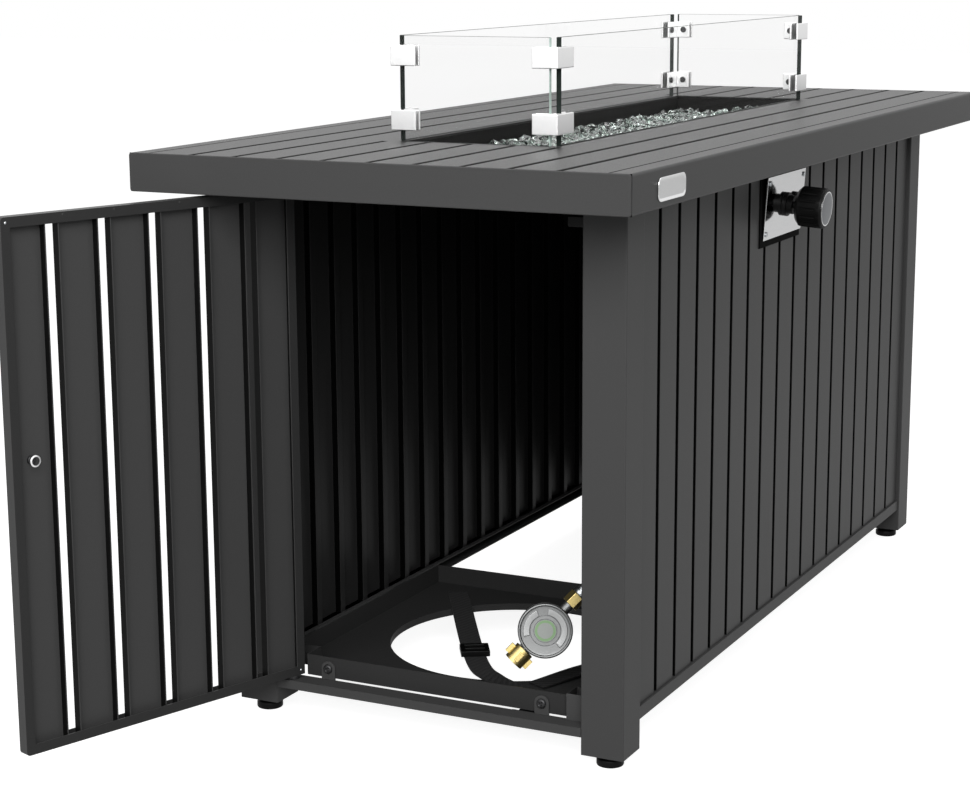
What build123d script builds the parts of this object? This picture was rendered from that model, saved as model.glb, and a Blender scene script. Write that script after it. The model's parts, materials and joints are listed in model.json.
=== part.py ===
from build123d import *
import os
from math import cos, sin, tan, radians
from random import Random

# Gas fire pit table: a folded steel top round a burner opening, a slatted cabinet for the gas bottle,
# a pivoted door, a loose glass wind guard and a regulator on its hose.
# Millimetres. +X runs away from the door end, -Y is the control side, Z = 0 is the floor.

# Table top
TOP_LENGTH = 1270.0
TOP_WIDTH = 560.0
TOP_HEIGHT = 630.0
FASCIA_HEIGHT = 40.0
FASCIA_LIP = 18.0
SHEET = 1.5
EDGE_STRIP = 22.4
EDGE_BEND = 3.0
SEAM = 1.2
SEAM_FLANGE = 9.0
CAP_SHEET = 2.5
CAP_EDGE = 1.2
TOP_GROOVE_PITCH = 51.4
TOP_GROOVES_EACH_SIDE = 4
TOP_GROOVE_WIDTH = 6.0
TOP_GROOVE_DEPTH = 4.0
SKIPPED_GROOVE = 2
TOP_BAR_HEIGHT = 20.0
TOP_BAR_WIDTH = 30.0

# Cabinet
END_OVERHANG = 107.0
SIDE_OVERHANG = 48.0
POST_X = 45.0
POST_Y = 48.0
POST_WALL = 1.5
POST_FOOT_PLATE = 4.0
POST_EDGE_RADIUS = 1.5
PANEL_SET_BACK = 5.0
PANEL_SHEET = 1.0
SIDE_STRIPS = 18
END_STRIPS = 7
PANEL_GROOVE_WIDTH = 8.0
PANEL_GROOVE_DEPTH = 8.0
RAIL_SET_BACK = 2.0
RAIL_DEPTH = 18.0
RAIL_HEIGHT = 14.0
RAIL_BOTTOM = 44.0
RAIL_WALL = 1.5
SILL_BOTTOM = 33.0
SILL_HEIGHT = 10.0
SILL_DEPTH = 22.0
HEADER_HEIGHT = 15.0

# Levelling feet
FOOT_HEIGHT = 14.0
FOOT_RADIUS = 14.5
FOOT_NECK_RADIUS = 11.0
FOOT_PAD_HEIGHT = 10.0
FOOT_EDGE = 1.5
FOOT_SHOULDER = 3.0
STUD_RADIUS = 4.0
STUD_LENGTH = 24.0
STUD_CLEARANCE = 0.1

# Burner
OPENING_LENGTH = 796.0
OPENING_WIDTH = 174.0
OPENING_Y = -4.0
PAN_GAP = 1.0
PAN_WALL = 1.5
PAN_RIM_DROP = 2.0
PAN_FLANGE = 12.0
PAN_LEDGE_DROP = 44.0
PAN_LEDGE = 12.0
PAN_DEPTH = 68.0
BURNER_LENGTH = 620.0
BURNER_WIDTH = 80.0
BURNER_TUBE_RADIUS = 9.0
BURNER_FEED_RADIUS = 7.5
BURNER_SOCKET_RADIUS = 11.0
BURNER_STANDOFF = 13.0
BED_HEIGHT = 13.0
BED_GAP = 3.0
STONE_COLUMNS = 30
STONE_ROWS = 5
STONE_HEIGHT = 13.0
STONE_TAPER = 24.0
ELECTRODE_X = 30.0
ELECTRODE_RADIUS = 3.0
ELECTRODE_HEIGHT = 20.0
ELECTRODE_FOOT = 18.0

# Wind guard
PANE = 6.0
GUARD_HEIGHT = 113.0
GUARD_LENGTH = 814.0
GUARD_WIDTH = 192.0
SIDE_PANE_SHORT = 13.0
END_PANE_SHORT = 2.0
CLIP_ARM_X = 42.0
CLIP_ARM_Y = 30.0
CLIP_HEIGHT = 22.0
CLIP_WALL = 3.0
CLIP_SLOT_CLEARANCE = 0.1
CLIP_LOW = 12.0
CLIP_TOP_DROP = 10.0
CLIP_SCREW_RADIUS = 4.0
CLIP_SCREW_HEAD = 2.0
CLIP_SCREW_INSET = 8.8

# Controls
PLATE_X = -54.0
PLATE_DROP = 90.0
PLATE_WIDTH = 133.0
PLATE_HEIGHT = 73.0
PLATE_SHEET = 1.5
CONTROL_TILT = 4.1
WEDGE_INSET = 9.0
PAD_LEFT_MARGIN = 8.0
PAD_LOWER_MARGIN = 8.0
PLATE_SCREW_INSET = 7.0
PLATE_SCREW_RADIUS = 3.0
PLATE_SCREW_HEAD = 1.6
COLLAR_RADIUS = 11.0
COLLAR_LENGTH = 11.5
COLLAR_STEP_RADIUS = 14.0
COLLAR_STEP = 5.0
KNOB_GAP = 6.0
KNOB_RADIUS = 23.5
KNOB_LENGTH = 33.0
KNOB_RECESS_RADIUS = 15.0
KNOB_RECESS_DEPTH = 12.0
KNOB_BORE_DEPTH = 20.0
KNOB_EDGE = 1.5
KNOB_SHOULDER = 4.0
KNOB_FLUTES = 16
KNOB_FLUTE_RADIUS = 2.4
KNOB_FLUTE_SET_OUT = 1.6
KNOB_FLUTE_LENGTH = 18.0
KNOB_CAP_RADIUS = 20.0
KNOB_CAP = 1.5
KNOB_PUSH = 4.0
STEM_RADIUS = 4.0
STEM_CLEARANCE = 0.05
STEM_END_GAP = 1.0
NOSE_RADIUS = 11.0
NOSE_CLEARANCE = 0.3
VALVE_WIDTH = 34.0
VALVE_DEPTH = 42.0
VALVE_HEIGHT = 34.0
VALVE_GAP = 1.5
VALVE_CHAMFER = 4.0
VALVE_BOSS_RADIUS = 8.0
VALVE_INLET_LENGTH = 14.0
VALVE_OUTLET_LENGTH = 16.0
SUPPLY_RADIUS = 5.0
SUPPLY_BEND = 12.0
SUPPLY_STRAIGHT = 1.0
IGNITER_OFFSET = 32.5
IGNITER_RISE = 3.5
BUTTON_RADIUS = 6.0
BUTTON_LENGTH = 20.0
BUTTON_PROUD = 9.0
BUTTON_CLEARANCE = 0.08
IGNITER_RING_RADIUS = 8.0
IGNITER_RING = 3.0
IGNITER_RADIUS = 9.0
IGNITER_LENGTH = 44.0
IGNITER_BORE_DEPTH = 18.0

# Bottle tray
TRAY_SHEET = 1.5
TRAY_FLOOR = 45.0
TRAY_FLANGE = 23.5
TRAY_LENGTH = 380.0
TRAY_RAIL_GAP = 19.0
TRAY_TONGUE_WIDTH = 315.0
TRAY_TONGUE_LENGTH = 28.0
TRAY_HOLE_RADIUS = 145.0
TRAY_HOLE_COLLAR = 8.3
TRAY_HOLE_X = 205.0
TRAY_EAR = 40.0
TRAY_EAR_INSET = 60.0
TAB_WIDTH = 17.0
TAB_HEIGHT = 21.0
TAB_SHEET = 2.0
TAB_SPREAD = 260.0
TAB_SCREW_RISE = 12.5
TRAY_SCREW_RADIUS = 2.5
TRAY_SCREW_HEAD_RADIUS = 5.4
TRAY_SCREW_HEAD = 2.6
TRAY_SCREW_LENGTH = 12.0
STRAP_WIDTH = 25.0
STRAP = 1.8
STRAP_GAP = 0.3
LONG_STRAP_POINTS = [(139.0, 146.0), (-83.0, 10.0), (-143.0, -42.0), (-167.0, -92.0)]
SHORT_STRAP_POINTS = [(-139.0, -92.0), (-61.0, -128.0), (9.0, -176.0)]
BUCKLE_AT = (-69.0, 18.0)
BUCKLE_TURN = 31.0
BUCKLE_LENGTH = 30.0
BUCKLE_WIDTH = 33.0
BUCKLE_HEIGHT = 7.0
BUCKLE_BAR = 5.0

# Door
DOOR_OPEN_ANGLE = 109.0
DOOR_SHEET = 1.5
DOOR_DEPTH = 13.0
DOOR_SET_BACK = 3.0
DOOR_PIVOT_TO_POST = 16.0
DOOR_PIVOT_TO_EDGE = 11.0
DOOR_LATCH_GAP = 3.0
DOOR_SILL_GAP = 4.0
DOOR_TOP_GAP = 3.0
DOOR_FLANGE = 10.5
DOOR_CORNER = 4.0
DOOR_SLATS = 6
DOOR_SLAT_PITCH = 61.0
DOOR_SLAT_GAP = 14.0
DOOR_SLAT_FLANGE = 9.5
PIN_RADIUS = 3.0
PIN_CLEARANCE = 0.05
WASHER_RADIUS = 7.0
WASHER_GAP = 0.3
PULL_RADIUS = 12.0
PULL_NECK_RADIUS = 6.0
PULL_LENGTH = 22.0
PULL_NECK_LENGTH = 9.0
PULL_FLARE = 4.0
PULL_EDGE = 2.0
PULL_THREAD_DEPTH = 11.0
PULL_FROM_EDGE = 28.0
PULL_HEIGHT = 298.0
PULL_SCREW_RADIUS = 2.5
PULL_SCREW_HEAD_RADIUS = 4.5
PULL_SCREW_HEAD = 2.5
CATCH_LENGTH = 24.0
CATCH_DEPTH = 20.0
CATCH_HEIGHT = 11.0
CATCH_GAP = 0.5
CATCH_DROP = 22.5
STOP_HEIGHT = 29.0
STOP_SHEET = 2.0

# Regulator, placed by its disc's centre
REGULATOR_AT = (-450.0, -107.5, 115.8)
REGULATOR_FACING = (-0.876, -0.437, 0.204)
REGULATOR_LEAN = 45.0
DISC_RADIUS = 29.7
DISC_RIM = 3.0
DISC_FLANGE = 4.0
BOWL_RADIUS = 24.0
BOWL_FLOOR_RADIUS = 19.0
BOWL_DEPTH = 14.0
COVER_HEIGHT = 5.5
COVER_RECESS = 2.0
COVER_EDGE = 1.0
HUB_RADIUS = 13.0
SECTOR_RADIUS = 20.2
SECTOR_WIDTH = 6.8
SECTOR_SPANS = [(67.0, 150.0), (-95.0, 37.0)]
INLET_RADIUS = 6.0
INLET_REACH = 39.0
INLET_COLLAR_RADIUS = 8.0
INLET_COLLAR_GAP = 1.0
OUTLET_RADIUS = 6.0
OUTLET_REACH = 38.0
HEX_RADIUS = 9.8
HEX_LENGTH = 14.0
FERRULE_RADIUS = 7.5
FERRULE_LENGTH = 16.0
WING_HUB_RADIUS = 11.0
WING_NUT_LENGTH = 18.0
WING_NUT_START = 31.0
WING_THREAD_RADIUS = 8.3
WING_THREAD_LENGTH = 9.0
WING_REACH = 15.0
WING_LENGTH = 11.0
WING_THICKNESS = 4.5
WING_COUNT = 4

# Gas hose, by the points that it bends towards between the straight runs out of its two ferrules
HOSE_RADIUS = 6.0
HOSE_TAIL = 44.0
HOSE_POINTS = [
    (-66, -196, 386), (-93, -198, 336), (-133, -200, 294), (-185, -201, 263), (-241, -200, 242),
    (-295, -196, 227), (-346, -186, 211),
]
HOSE_ARC_SHARE = 0.45

# Length of a cut that goes right through what it cuts
CUT_THROUGH = 60.0

# Planes and places that follow from the sizes above
BASE_X = TOP_LENGTH / 2 - END_OVERHANG
BASE_Y = TOP_WIDTH / 2 - SIDE_OVERHANG
DOORWAY = BASE_Y - POST_Y
POST_BOTTOM = FOOT_HEIGHT
GROOVE_UNDERSIDE = TOP_HEIGHT - TOP_GROOVE_DEPTH - SHEET
POST_TOP = GROOVE_UNDERSIDE - TOP_BAR_HEIGHT
SEAM_Y = TOP_WIDTH / 2 - EDGE_STRIP
PANEL_FACE = BASE_Y - PANEL_SET_BACK
RAIL_FACE = BASE_Y - RAIL_SET_BACK
RAIL_INNER = RAIL_FACE - RAIL_DEPTH
RAIL_TOP = RAIL_BOTTOM + RAIL_HEIGHT
SILL_TOP = SILL_BOTTOM + SILL_HEIGHT
SILL_INNER = -BASE_X + SILL_DEPTH
HEADER_BOTTOM = POST_TOP - HEADER_HEIGHT
PLATE_Z = TOP_HEIGHT - PLATE_DROP
PLATE_LOW = PLATE_Z - PLATE_HEIGHT / 2
PLATE_HIGH = PLATE_Z + PLATE_HEIGHT / 2
PLATE_BACK = -PANEL_FACE - PLATE_SHEET
PLATE_FRONT = PLATE_BACK - PLATE_SHEET
VALVE_FRONT = -PANEL_FACE + PANEL_GROOVE_DEPTH + PANEL_SHEET + VALVE_GAP
VALVE_Y = VALVE_FRONT + VALVE_DEPTH / 2
KNOB_BACK = PLATE_FRONT - COLLAR_LENGTH - KNOB_GAP
KNOB_FRONT = KNOB_BACK - KNOB_LENGTH
IGNITER_X = PLATE_X + IGNITER_OFFSET
IGNITER_Z = PLATE_Z + IGNITER_RISE
TRAY_FRONT = SILL_INNER
TRAY_MIDDLE = TRAY_FRONT + TRAY_HOLE_X
TRAY_WIDTH = 2 * (RAIL_INNER - TRAY_RAIL_GAP)
TRAY_TOP = TRAY_FLOOR + TRAY_SHEET
TAB_SCREW_Z = SILL_TOP + TAB_SCREW_RISE
PIVOT_X = -BASE_X + DOOR_SET_BACK + DOOR_DEPTH / 2
PIVOT_Y = DOORWAY - DOOR_PIVOT_TO_POST
DOOR_BOTTOM = SILL_TOP + DOOR_SILL_GAP
DOOR_TOP = HEADER_BOTTOM - DOOR_TOP_GAP
DOOR_HEIGHT = DOOR_TOP - DOOR_BOTTOM
DOOR_REACH = PIVOT_Y + DOORWAY - DOOR_LATCH_GAP
DOOR_INNER_FACE = PIVOT_X + DOOR_DEPTH / 2
CATCH_Z = HEADER_BOTTOM - CATCH_DROP
PAN_TOP = TOP_HEIGHT - PAN_RIM_DROP
LEDGE_Z = TOP_HEIGHT - PAN_LEDGE_DROP
PAN_FLOOR = TOP_HEIGHT - PAN_DEPTH
SUPPLY_Z = PAN_FLOOR - PAN_WALL - SUPPLY_BEND - SUPPLY_STRAIGHT


def block(x, y, z):
    """Box between the (low, high) pairs along each axis."""
    size = (x[1] - x[0], y[1] - y[0], z[1] - z[0])
    return Pos((x[0] + x[1]) / 2, (y[0] + y[1]) / 2, (z[0] + z[1]) / 2) * Box(*size)


def rod(radius, start, end):
    """Round bar from one point to another."""
    axis = Vector(*end) - Vector(*start)
    return extrude(Plane(origin=start, z_dir=axis) * Circle(radius), amount=axis.length)


def folded_sheet(span, grooves, width, depth, sheet):
    """Section of a sheet from -span/2 to span/2, folded back in a channel at each groove."""
    outer = [(-span / 2, 0)]
    inner = [(-span / 2, sheet)]
    for groove in grooves:
        low = groove - width / 2
        high = groove + width / 2
        outer += [(low, 0), (low, depth), (high, depth), (high, 0)]
        inner += [(low - sheet, sheet), (low - sheet, depth + sheet)]
        inner += [(high + sheet, depth + sheet), (high + sheet, sheet)]
    outer.append((span / 2, 0))
    inner.append((span / 2, sheet))
    return make_face(Polyline(*outer, *reversed(inner), close=True))


def even_grooves(span, strips):
    """Places of the grooves that divide a span into equal strips."""
    pitch = span / strips
    return [pitch * (index - strips / 2) for index in range(1, strips)]


def channel(depth, height, wall):
    """Section of a rail: face and top and bottom walls, open at the back. Face at x = 0."""
    outline = Pos(depth / 2, height / 2) * Rectangle(depth, height)
    hollow = Pos(depth / 2 + wall, height / 2) * Rectangle(depth, height - 2 * wall)
    return outline - hollow


def rail(section, start, along, length):
    """Rail section run level from a start point, with its open side towards the cabinet's middle."""
    plane = Plane(origin=start, x_dir=Vector(0, 0, 1).cross(along), z_dir=along)
    return extrude(plane * section, amount=length)


def save(node, *solids):
    """Write one node's solids to its STEP file."""
    shape = solids[0] if len(solids) == 1 else Compound(children=list(solids))
    export_step(shape, f"parts/{node}.step")


def mirrored_pair(solid, plane):
    """A solid and its mirror image."""
    return solid, mirror(solid, about=plane)


# Table top

def top_run(x, grooves):
    """Stretch of the folded top between two X values, turned down along its two seams."""
    half = SEAM_Y - SEAM
    plane = Plane(origin=(x[1], 0, TOP_HEIGHT), x_dir=(0, 1, 0), z_dir=(-1, 0, 0))
    section = folded_sheet(2 * half, grooves, TOP_GROOVE_WIDTH, TOP_GROOVE_DEPTH, SHEET)
    for side in (-1, 1):
        section += Pos(side * (half - SHEET / 2), SEAM_FLANGE / 2) * Rectangle(SHEET, SEAM_FLANGE)
    return extrude(plane * section, amount=x[1] - x[0])


def make_top_sheet():
    """Grooved top; the grooves beside the burner opening stop at its ends."""
    steps = range(-TOP_GROOVES_EACH_SIDE, TOP_GROOVES_EACH_SIDE + 1)
    everywhere = [step * TOP_GROOVE_PITCH for step in steps]
    beside = [step * TOP_GROOVE_PITCH for step in steps if abs(step) != SKIPPED_GROOVE]
    end = TOP_LENGTH / 2 - CAP_SHEET
    middle = OPENING_LENGTH / 2 + PAN_FLANGE
    sheet = top_run((-end, -middle), everywhere) + top_run((-middle, middle), beside)
    sheet += top_run((middle, end), everywhere)
    opening = Pos(0, OPENING_Y, TOP_HEIGHT) * Box(OPENING_LENGTH, OPENING_WIDTH, CUT_THROUGH)
    return sheet - opening


def edge_section():
    """Edge channel with a turned-down seam flange and a lower lip. Face at x = 0, bottom at y = 0."""
    outline = Pos(EDGE_STRIP / 2, FASCIA_HEIGHT / 2) * Rectangle(EDGE_STRIP, FASCIA_HEIGHT)
    outline = fillet(outline.vertices().sort_by(Axis.X)[:2], EDGE_BEND)
    inside = Pos(EDGE_STRIP / 2 + SHEET, FASCIA_HEIGHT / 2) * Rectangle(EDGE_STRIP, FASCIA_HEIGHT - 2 * SHEET)
    inside = fillet(inside.vertices().sort_by(Axis.X)[:2], EDGE_BEND - SHEET)
    turned_down = Pos(EDGE_STRIP - SHEET / 2, FASCIA_HEIGHT - SEAM_FLANGE / 2) * Rectangle(SHEET, SEAM_FLANGE)
    return outline - inside + turned_down


def make_side_fascia():
    """Control-side edge channel, between the end caps."""
    start = (-TOP_LENGTH / 2 + CAP_SHEET, -TOP_WIDTH / 2, TOP_HEIGHT - FASCIA_HEIGHT)
    return rail(edge_section(), start, Vector(1, 0, 0), TOP_LENGTH - 2 * CAP_SHEET)


def make_end_fascia():
    """Far-end cap over the ends of the top and its edge channels, with a lip folded under the top."""
    face = fillet(Rectangle(TOP_WIDTH, FASCIA_HEIGHT).vertices(), EDGE_BEND)
    middle = (TOP_LENGTH / 2, 0, TOP_HEIGHT - FASCIA_HEIGHT / 2)
    cap = extrude(Plane(origin=middle, x_dir=(0, 1, 0), z_dir=(1, 0, 0)) * face, amount=-CAP_SHEET)
    cap = fillet(cap.faces().sort_by(Axis.X)[-1].edges(), CAP_EDGE)
    lip_x = (TOP_LENGTH / 2 - FASCIA_LIP, TOP_LENGTH / 2 - CAP_SHEET)
    bottom = TOP_HEIGHT - FASCIA_HEIGHT + EDGE_BEND
    return cap + block(lip_x, (SEAM - SEAM_Y, SEAM_Y - SEAM), (bottom, bottom + SHEET))


# Cabinet frame

def make_post(x_side, y_side):
    """Hollow corner post with a foot plate and a hole for the foot's stud."""
    height = POST_TOP - POST_BOTTOM
    tube = fillet((Box(POST_X, POST_Y, height)).edges().filter_by(Axis.Z), POST_EDGE_RADIUS)
    bore = Box(POST_X - 2 * POST_WALL, POST_Y - 2 * POST_WALL, height)
    tube -= Pos(0, 0, POST_FOOT_PLATE) * bore
    tube -= Cylinder(STUD_RADIUS + STUD_CLEARANCE, 2 * height)
    centre = Pos(x_side * (BASE_X - POST_X / 2), y_side * (BASE_Y - POST_Y / 2), (POST_TOP + POST_BOTTOM) / 2)
    return centre * tube


def make_foot(x_side, y_side):
    """Round glide on a threaded stud."""
    outline = Polyline(
        (0, 0), (FOOT_RADIUS - FOOT_EDGE, 0), (FOOT_RADIUS, FOOT_EDGE),
        (FOOT_RADIUS, FOOT_PAD_HEIGHT - FOOT_SHOULDER), (FOOT_NECK_RADIUS, FOOT_PAD_HEIGHT),
        (FOOT_NECK_RADIUS, FOOT_HEIGHT), (STUD_RADIUS, FOOT_HEIGHT),
        (STUD_RADIUS, FOOT_HEIGHT + STUD_LENGTH), (0, FOOT_HEIGHT + STUD_LENGTH), close=True,
    )
    foot = revolve(Plane.XZ * make_face(outline), axis=Axis.Z)
    return Pos(x_side * (BASE_X - POST_X / 2), y_side * (BASE_Y - POST_Y / 2), 0) * foot


def make_side_panel():
    """Control-side panel: one sheet folded into upright strips between the posts."""
    span = 2 * (BASE_X - POST_X)
    section = folded_sheet(
        span, even_grooves(span, SIDE_STRIPS), PANEL_GROOVE_WIDTH, PANEL_GROOVE_DEPTH, PANEL_SHEET)
    return Pos(0, -PANEL_FACE, RAIL_TOP) * extrude(section, amount=POST_TOP - RAIL_TOP)


def make_end_panel():
    """Far-end panel, folded like the sides."""
    span = 2 * DOORWAY
    section = folded_sheet(
        span, even_grooves(span, END_STRIPS), PANEL_GROOVE_WIDTH, PANEL_GROOVE_DEPTH, PANEL_SHEET)
    place = Pos(BASE_X - PANEL_SET_BACK, 0, RAIL_TOP) * Rot(Z=90)
    return place * extrude(section, amount=POST_TOP - RAIL_TOP)


def tilt(solid):
    """Lean a piece of the controls outwards at the top, about the lower back edge of the control plate."""
    edge = Vector(0, PLATE_BACK, PLATE_LOW)
    return Pos(edge) * Rot(X=CONTROL_TILT) * Pos(-edge) * solid


def control_holes():
    """Round cuts through the front panel and the pad for the valve's nose and the igniter."""
    nose = Cylinder(NOSE_RADIUS + NOSE_CLEARANCE, CUT_THROUGH)
    igniter = Cylinder(IGNITER_RADIUS + NOSE_CLEARANCE, CUT_THROUGH)
    nose_place = Pos(PLATE_X, -PANEL_FACE, PLATE_Z) * Rot(X=90)
    igniter_place = Pos(IGNITER_X, -PANEL_FACE, IGNITER_Z) * Rot(X=90)
    return tilt(nose_place * nose + igniter_place * igniter)


def make_side_rail():
    """Bottom rail under the control-side panel."""
    start = (-BASE_X + POST_X, -RAIL_FACE, RAIL_BOTTOM)
    return rail(channel(RAIL_DEPTH, RAIL_HEIGHT, RAIL_WALL), start, Vector(1, 0, 0), 2 * (BASE_X - POST_X))


def make_end_rail():
    """Bottom rail under the far-end panel."""
    start = (BASE_X - RAIL_SET_BACK, -DOORWAY, RAIL_BOTTOM)
    return rail(channel(RAIL_DEPTH, RAIL_HEIGHT, RAIL_WALL), start, Vector(0, 1, 0), 2 * DOORWAY)


def doorway_rail(bottom, height):
    """Channel across the doorway, with its face flush with the posts."""
    section = channel(SILL_DEPTH, height, RAIL_WALL)
    rail_solid = rail(section, (-BASE_X, DOORWAY, bottom), Vector(0, -1, 0), 2 * DOORWAY)
    hole = Pos(PIVOT_X, PIVOT_Y, bottom + height / 2) * Cylinder(PIN_RADIUS + PIN_CLEARANCE, CUT_THROUGH)
    return rail_solid - hole


def make_top_bars():
    """Bars on the posts that carry the top: two along the sides, two between them at the ends."""
    z = (POST_TOP, GROOVE_UNDERSIDE)
    hollow_z = (POST_TOP + POST_WALL, GROOVE_UNDERSIDE - POST_WALL)
    inner = BASE_Y - TOP_BAR_WIDTH
    side = block((-BASE_X, BASE_X), (-BASE_Y, -inner), z)
    side -= block((-BASE_X, BASE_X), (-BASE_Y + POST_WALL, -inner - POST_WALL), hollow_z)
    end = block((BASE_X - TOP_BAR_WIDTH, BASE_X), (-inner, inner), z)
    hollow_x = (BASE_X - TOP_BAR_WIDTH + POST_WALL, BASE_X - POST_WALL)
    end -= block(hollow_x, (-inner, inner), hollow_z)
    return side, end


# Burner

def make_pan():
    """Stepped burner pan with an outward flange under the top."""
    upper_x = OPENING_LENGTH / 2 - PAN_GAP
    upper_y = OPENING_WIDTH / 2 - PAN_GAP
    lower_x = upper_x - PAN_LEDGE
    lower_y = upper_y - PAN_LEDGE
    outer = block((-upper_x, upper_x), (-upper_y, upper_y), (LEDGE_Z - PAN_WALL, PAN_TOP))
    outer += block((-lower_x, lower_x), (-lower_y, lower_y), (PAN_FLOOR - PAN_WALL, LEDGE_Z))
    flange_x = upper_x + PAN_FLANGE
    flange_y = upper_y + PAN_FLANGE
    flange_z = (GROOVE_UNDERSIDE - PAN_WALL, GROOVE_UNDERSIDE)
    outer += block((-flange_x, flange_x), (-flange_y, flange_y), flange_z)
    upper = (upper_x - PAN_WALL, upper_y - PAN_WALL)
    lower = (lower_x - PAN_WALL, lower_y - PAN_WALL)
    hollow = block((-upper[0], upper[0]), (-upper[1], upper[1]), (LEDGE_Z, PAN_TOP + SHEET))
    hollow += block((-lower[0], lower[0]), (-lower[1], lower[1]), (PAN_FLOOR, LEDGE_Z))
    hole = Pos(PLATE_X, 0, PAN_FLOOR) * Cylinder(SUPPLY_RADIUS + NOSE_CLEARANCE, 2 * SUPPLY_BEND)
    return Pos(0, OPENING_Y, 0) * (outer - hollow - hole)


def make_burner():
    """Two burner tubes joined by a feed bar, on a socket that stands on the pan's floor."""
    z = PAN_FLOOR + BURNER_STANDOFF
    half_x = BURNER_LENGTH / 2
    half_y = BURNER_WIDTH / 2
    burner = rod(BURNER_FEED_RADIUS, (PLATE_X, -half_y, z), (PLATE_X, half_y, z))
    for y in (-half_y, half_y):
        burner += rod(BURNER_TUBE_RADIUS, (-half_x, y, z), (half_x, y, z))
    burner += rod(BURNER_SOCKET_RADIUS, (PLATE_X, 0, PAN_FLOOR), (PLATE_X, 0, z))
    seat = (PLATE_X, 0, z - BURNER_FEED_RADIUS)
    burner -= rod(SUPPLY_RADIUS + STEM_CLEARANCE, (PLATE_X, 0, PAN_FLOOR), seat)
    return Pos(0, OPENING_Y, 0) * burner


def make_supply_tube():
    """Gas tube from the valve's outlet, under the pan and up into the burner's socket."""
    start = (PLATE_X, VALVE_FRONT + VALVE_DEPTH + VALVE_OUTLET_LENGTH, SUPPLY_Z)
    turn = (PLATE_X, OPENING_Y, SUPPLY_Z)
    end = (PLATE_X, OPENING_Y, PAN_FLOOR + BURNER_STANDOFF - BURNER_FEED_RADIUS)
    path = FilletPolyline(start, turn, end, radius=SUPPLY_BEND)
    return sweep(Plane(origin=start, z_dir=(0, 1, 0)) * Circle(SUPPLY_RADIUS), path=path)


def make_electrode():
    """Spark electrode: a clip on the pan's floor and a ceramic rod."""
    place = Pos(ELECTRODE_X, OPENING_Y, PAN_FLOOR)
    clip = Pos(0, 0, SHEET / 2) * Box(ELECTRODE_FOOT, ELECTRODE_FOOT / 2, SHEET)
    ceramic = Pos(0, 0, SHEET + ELECTRODE_HEIGHT / 2) * Cylinder(ELECTRODE_RADIUS, ELECTRODE_HEIGHT)
    return place * (clip + ceramic)


def make_fire_glass():
    """Bed of glass on the pan's ledge with loose stones on it, heaped along the control side."""
    draw = Random(5)
    length = OPENING_LENGTH - 2 * (PAN_GAP + PAN_WALL + BED_GAP)
    width = OPENING_WIDTH - 2 * (PAN_GAP + PAN_WALL + BED_GAP)
    top = LEDGE_Z + BED_HEIGHT
    bed = Pos(0, OPENING_Y, (LEDGE_Z + top) / 2) * Box(length, width, BED_HEIGHT)
    cell_x = length / STONE_COLUMNS
    cell_y = width / STONE_ROWS
    reach = min(cell_x, cell_y) / 2
    solids = [bed]
    for row in range(STONE_ROWS):
        for column in range(STONE_COLUMNS):
            radius = reach * draw.uniform(0.7, 0.97)
            height = STONE_HEIGHT * draw.uniform(0.75, 1.0)
            x = -length / 2 + (column + 0.5) * cell_x
            y = OPENING_Y - width / 2 + (row + 0.5) * cell_y
            stone = extrude(RegularPolygon(radius, 5), amount=height, taper=STONE_TAPER)
            solids.append(Pos(x, y, top) * Rot(Z=draw.uniform(0, 72)) * stone)
            if row == 0:
                upper = extrude(RegularPolygon(radius * 0.9, 5), amount=STONE_HEIGHT * 0.8, taper=STONE_TAPER)
                solids.append(Pos(x, y, top + height) * Rot(Z=draw.uniform(0, 72)) * upper)
    return solids


# Wind guard

def make_panes():
    """Control-side pane and far-end pane, standing on the top."""
    z = (TOP_HEIGHT, TOP_HEIGHT + GUARD_HEIGHT)
    half_x = GUARD_LENGTH / 2
    half_y = GUARD_WIDTH / 2
    side_x = half_x - SIDE_PANE_SHORT
    end_y = half_y - END_PANE_SHORT
    side = block((-side_x, side_x), (-half_y, -half_y + PANE), z)
    end = block((half_x - PANE, half_x), (-end_y + PANE, end_y - PANE), z)
    return Pos(0, OPENING_Y, 0) * side, Pos(0, OPENING_Y, 0) * end


def make_clip(level):
    """Corner clip at the far control-side corner, slotted over both panes."""
    half_x = GUARD_LENGTH / 2
    half_y = GUARD_WIDTH / 2
    z = (level, level + CLIP_HEIGHT)
    thick = PANE + 2 * CLIP_WALL
    out_x = half_x + CLIP_WALL
    out_y = -half_y - CLIP_WALL
    clip = block((out_x - CLIP_ARM_X, out_x), (out_y, out_y + thick), z)
    clip += block((out_x - thick, out_x), (out_y, out_y + CLIP_ARM_Y), z)
    slot = PANE + 2 * CLIP_SLOT_CLEARANCE
    mid_x = half_x - PANE / 2
    mid_y = -half_y + PANE / 2
    tall = (level - CLIP_HEIGHT, level + 2 * CLIP_HEIGHT)
    pane_end_x = half_x - SIDE_PANE_SHORT + CLIP_SLOT_CLEARANCE
    pane_end_y = -half_y + END_PANE_SHORT + PANE - CLIP_SLOT_CLEARANCE
    clip -= block((out_x - 2 * CLIP_ARM_X, pane_end_x), (mid_y - slot / 2, mid_y + slot / 2), tall)
    clip -= block((mid_x - slot / 2, mid_x + slot / 2), (pane_end_y, out_y + 2 * CLIP_ARM_Y), tall)
    return Pos(0, OPENING_Y, 0) * clip


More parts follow.
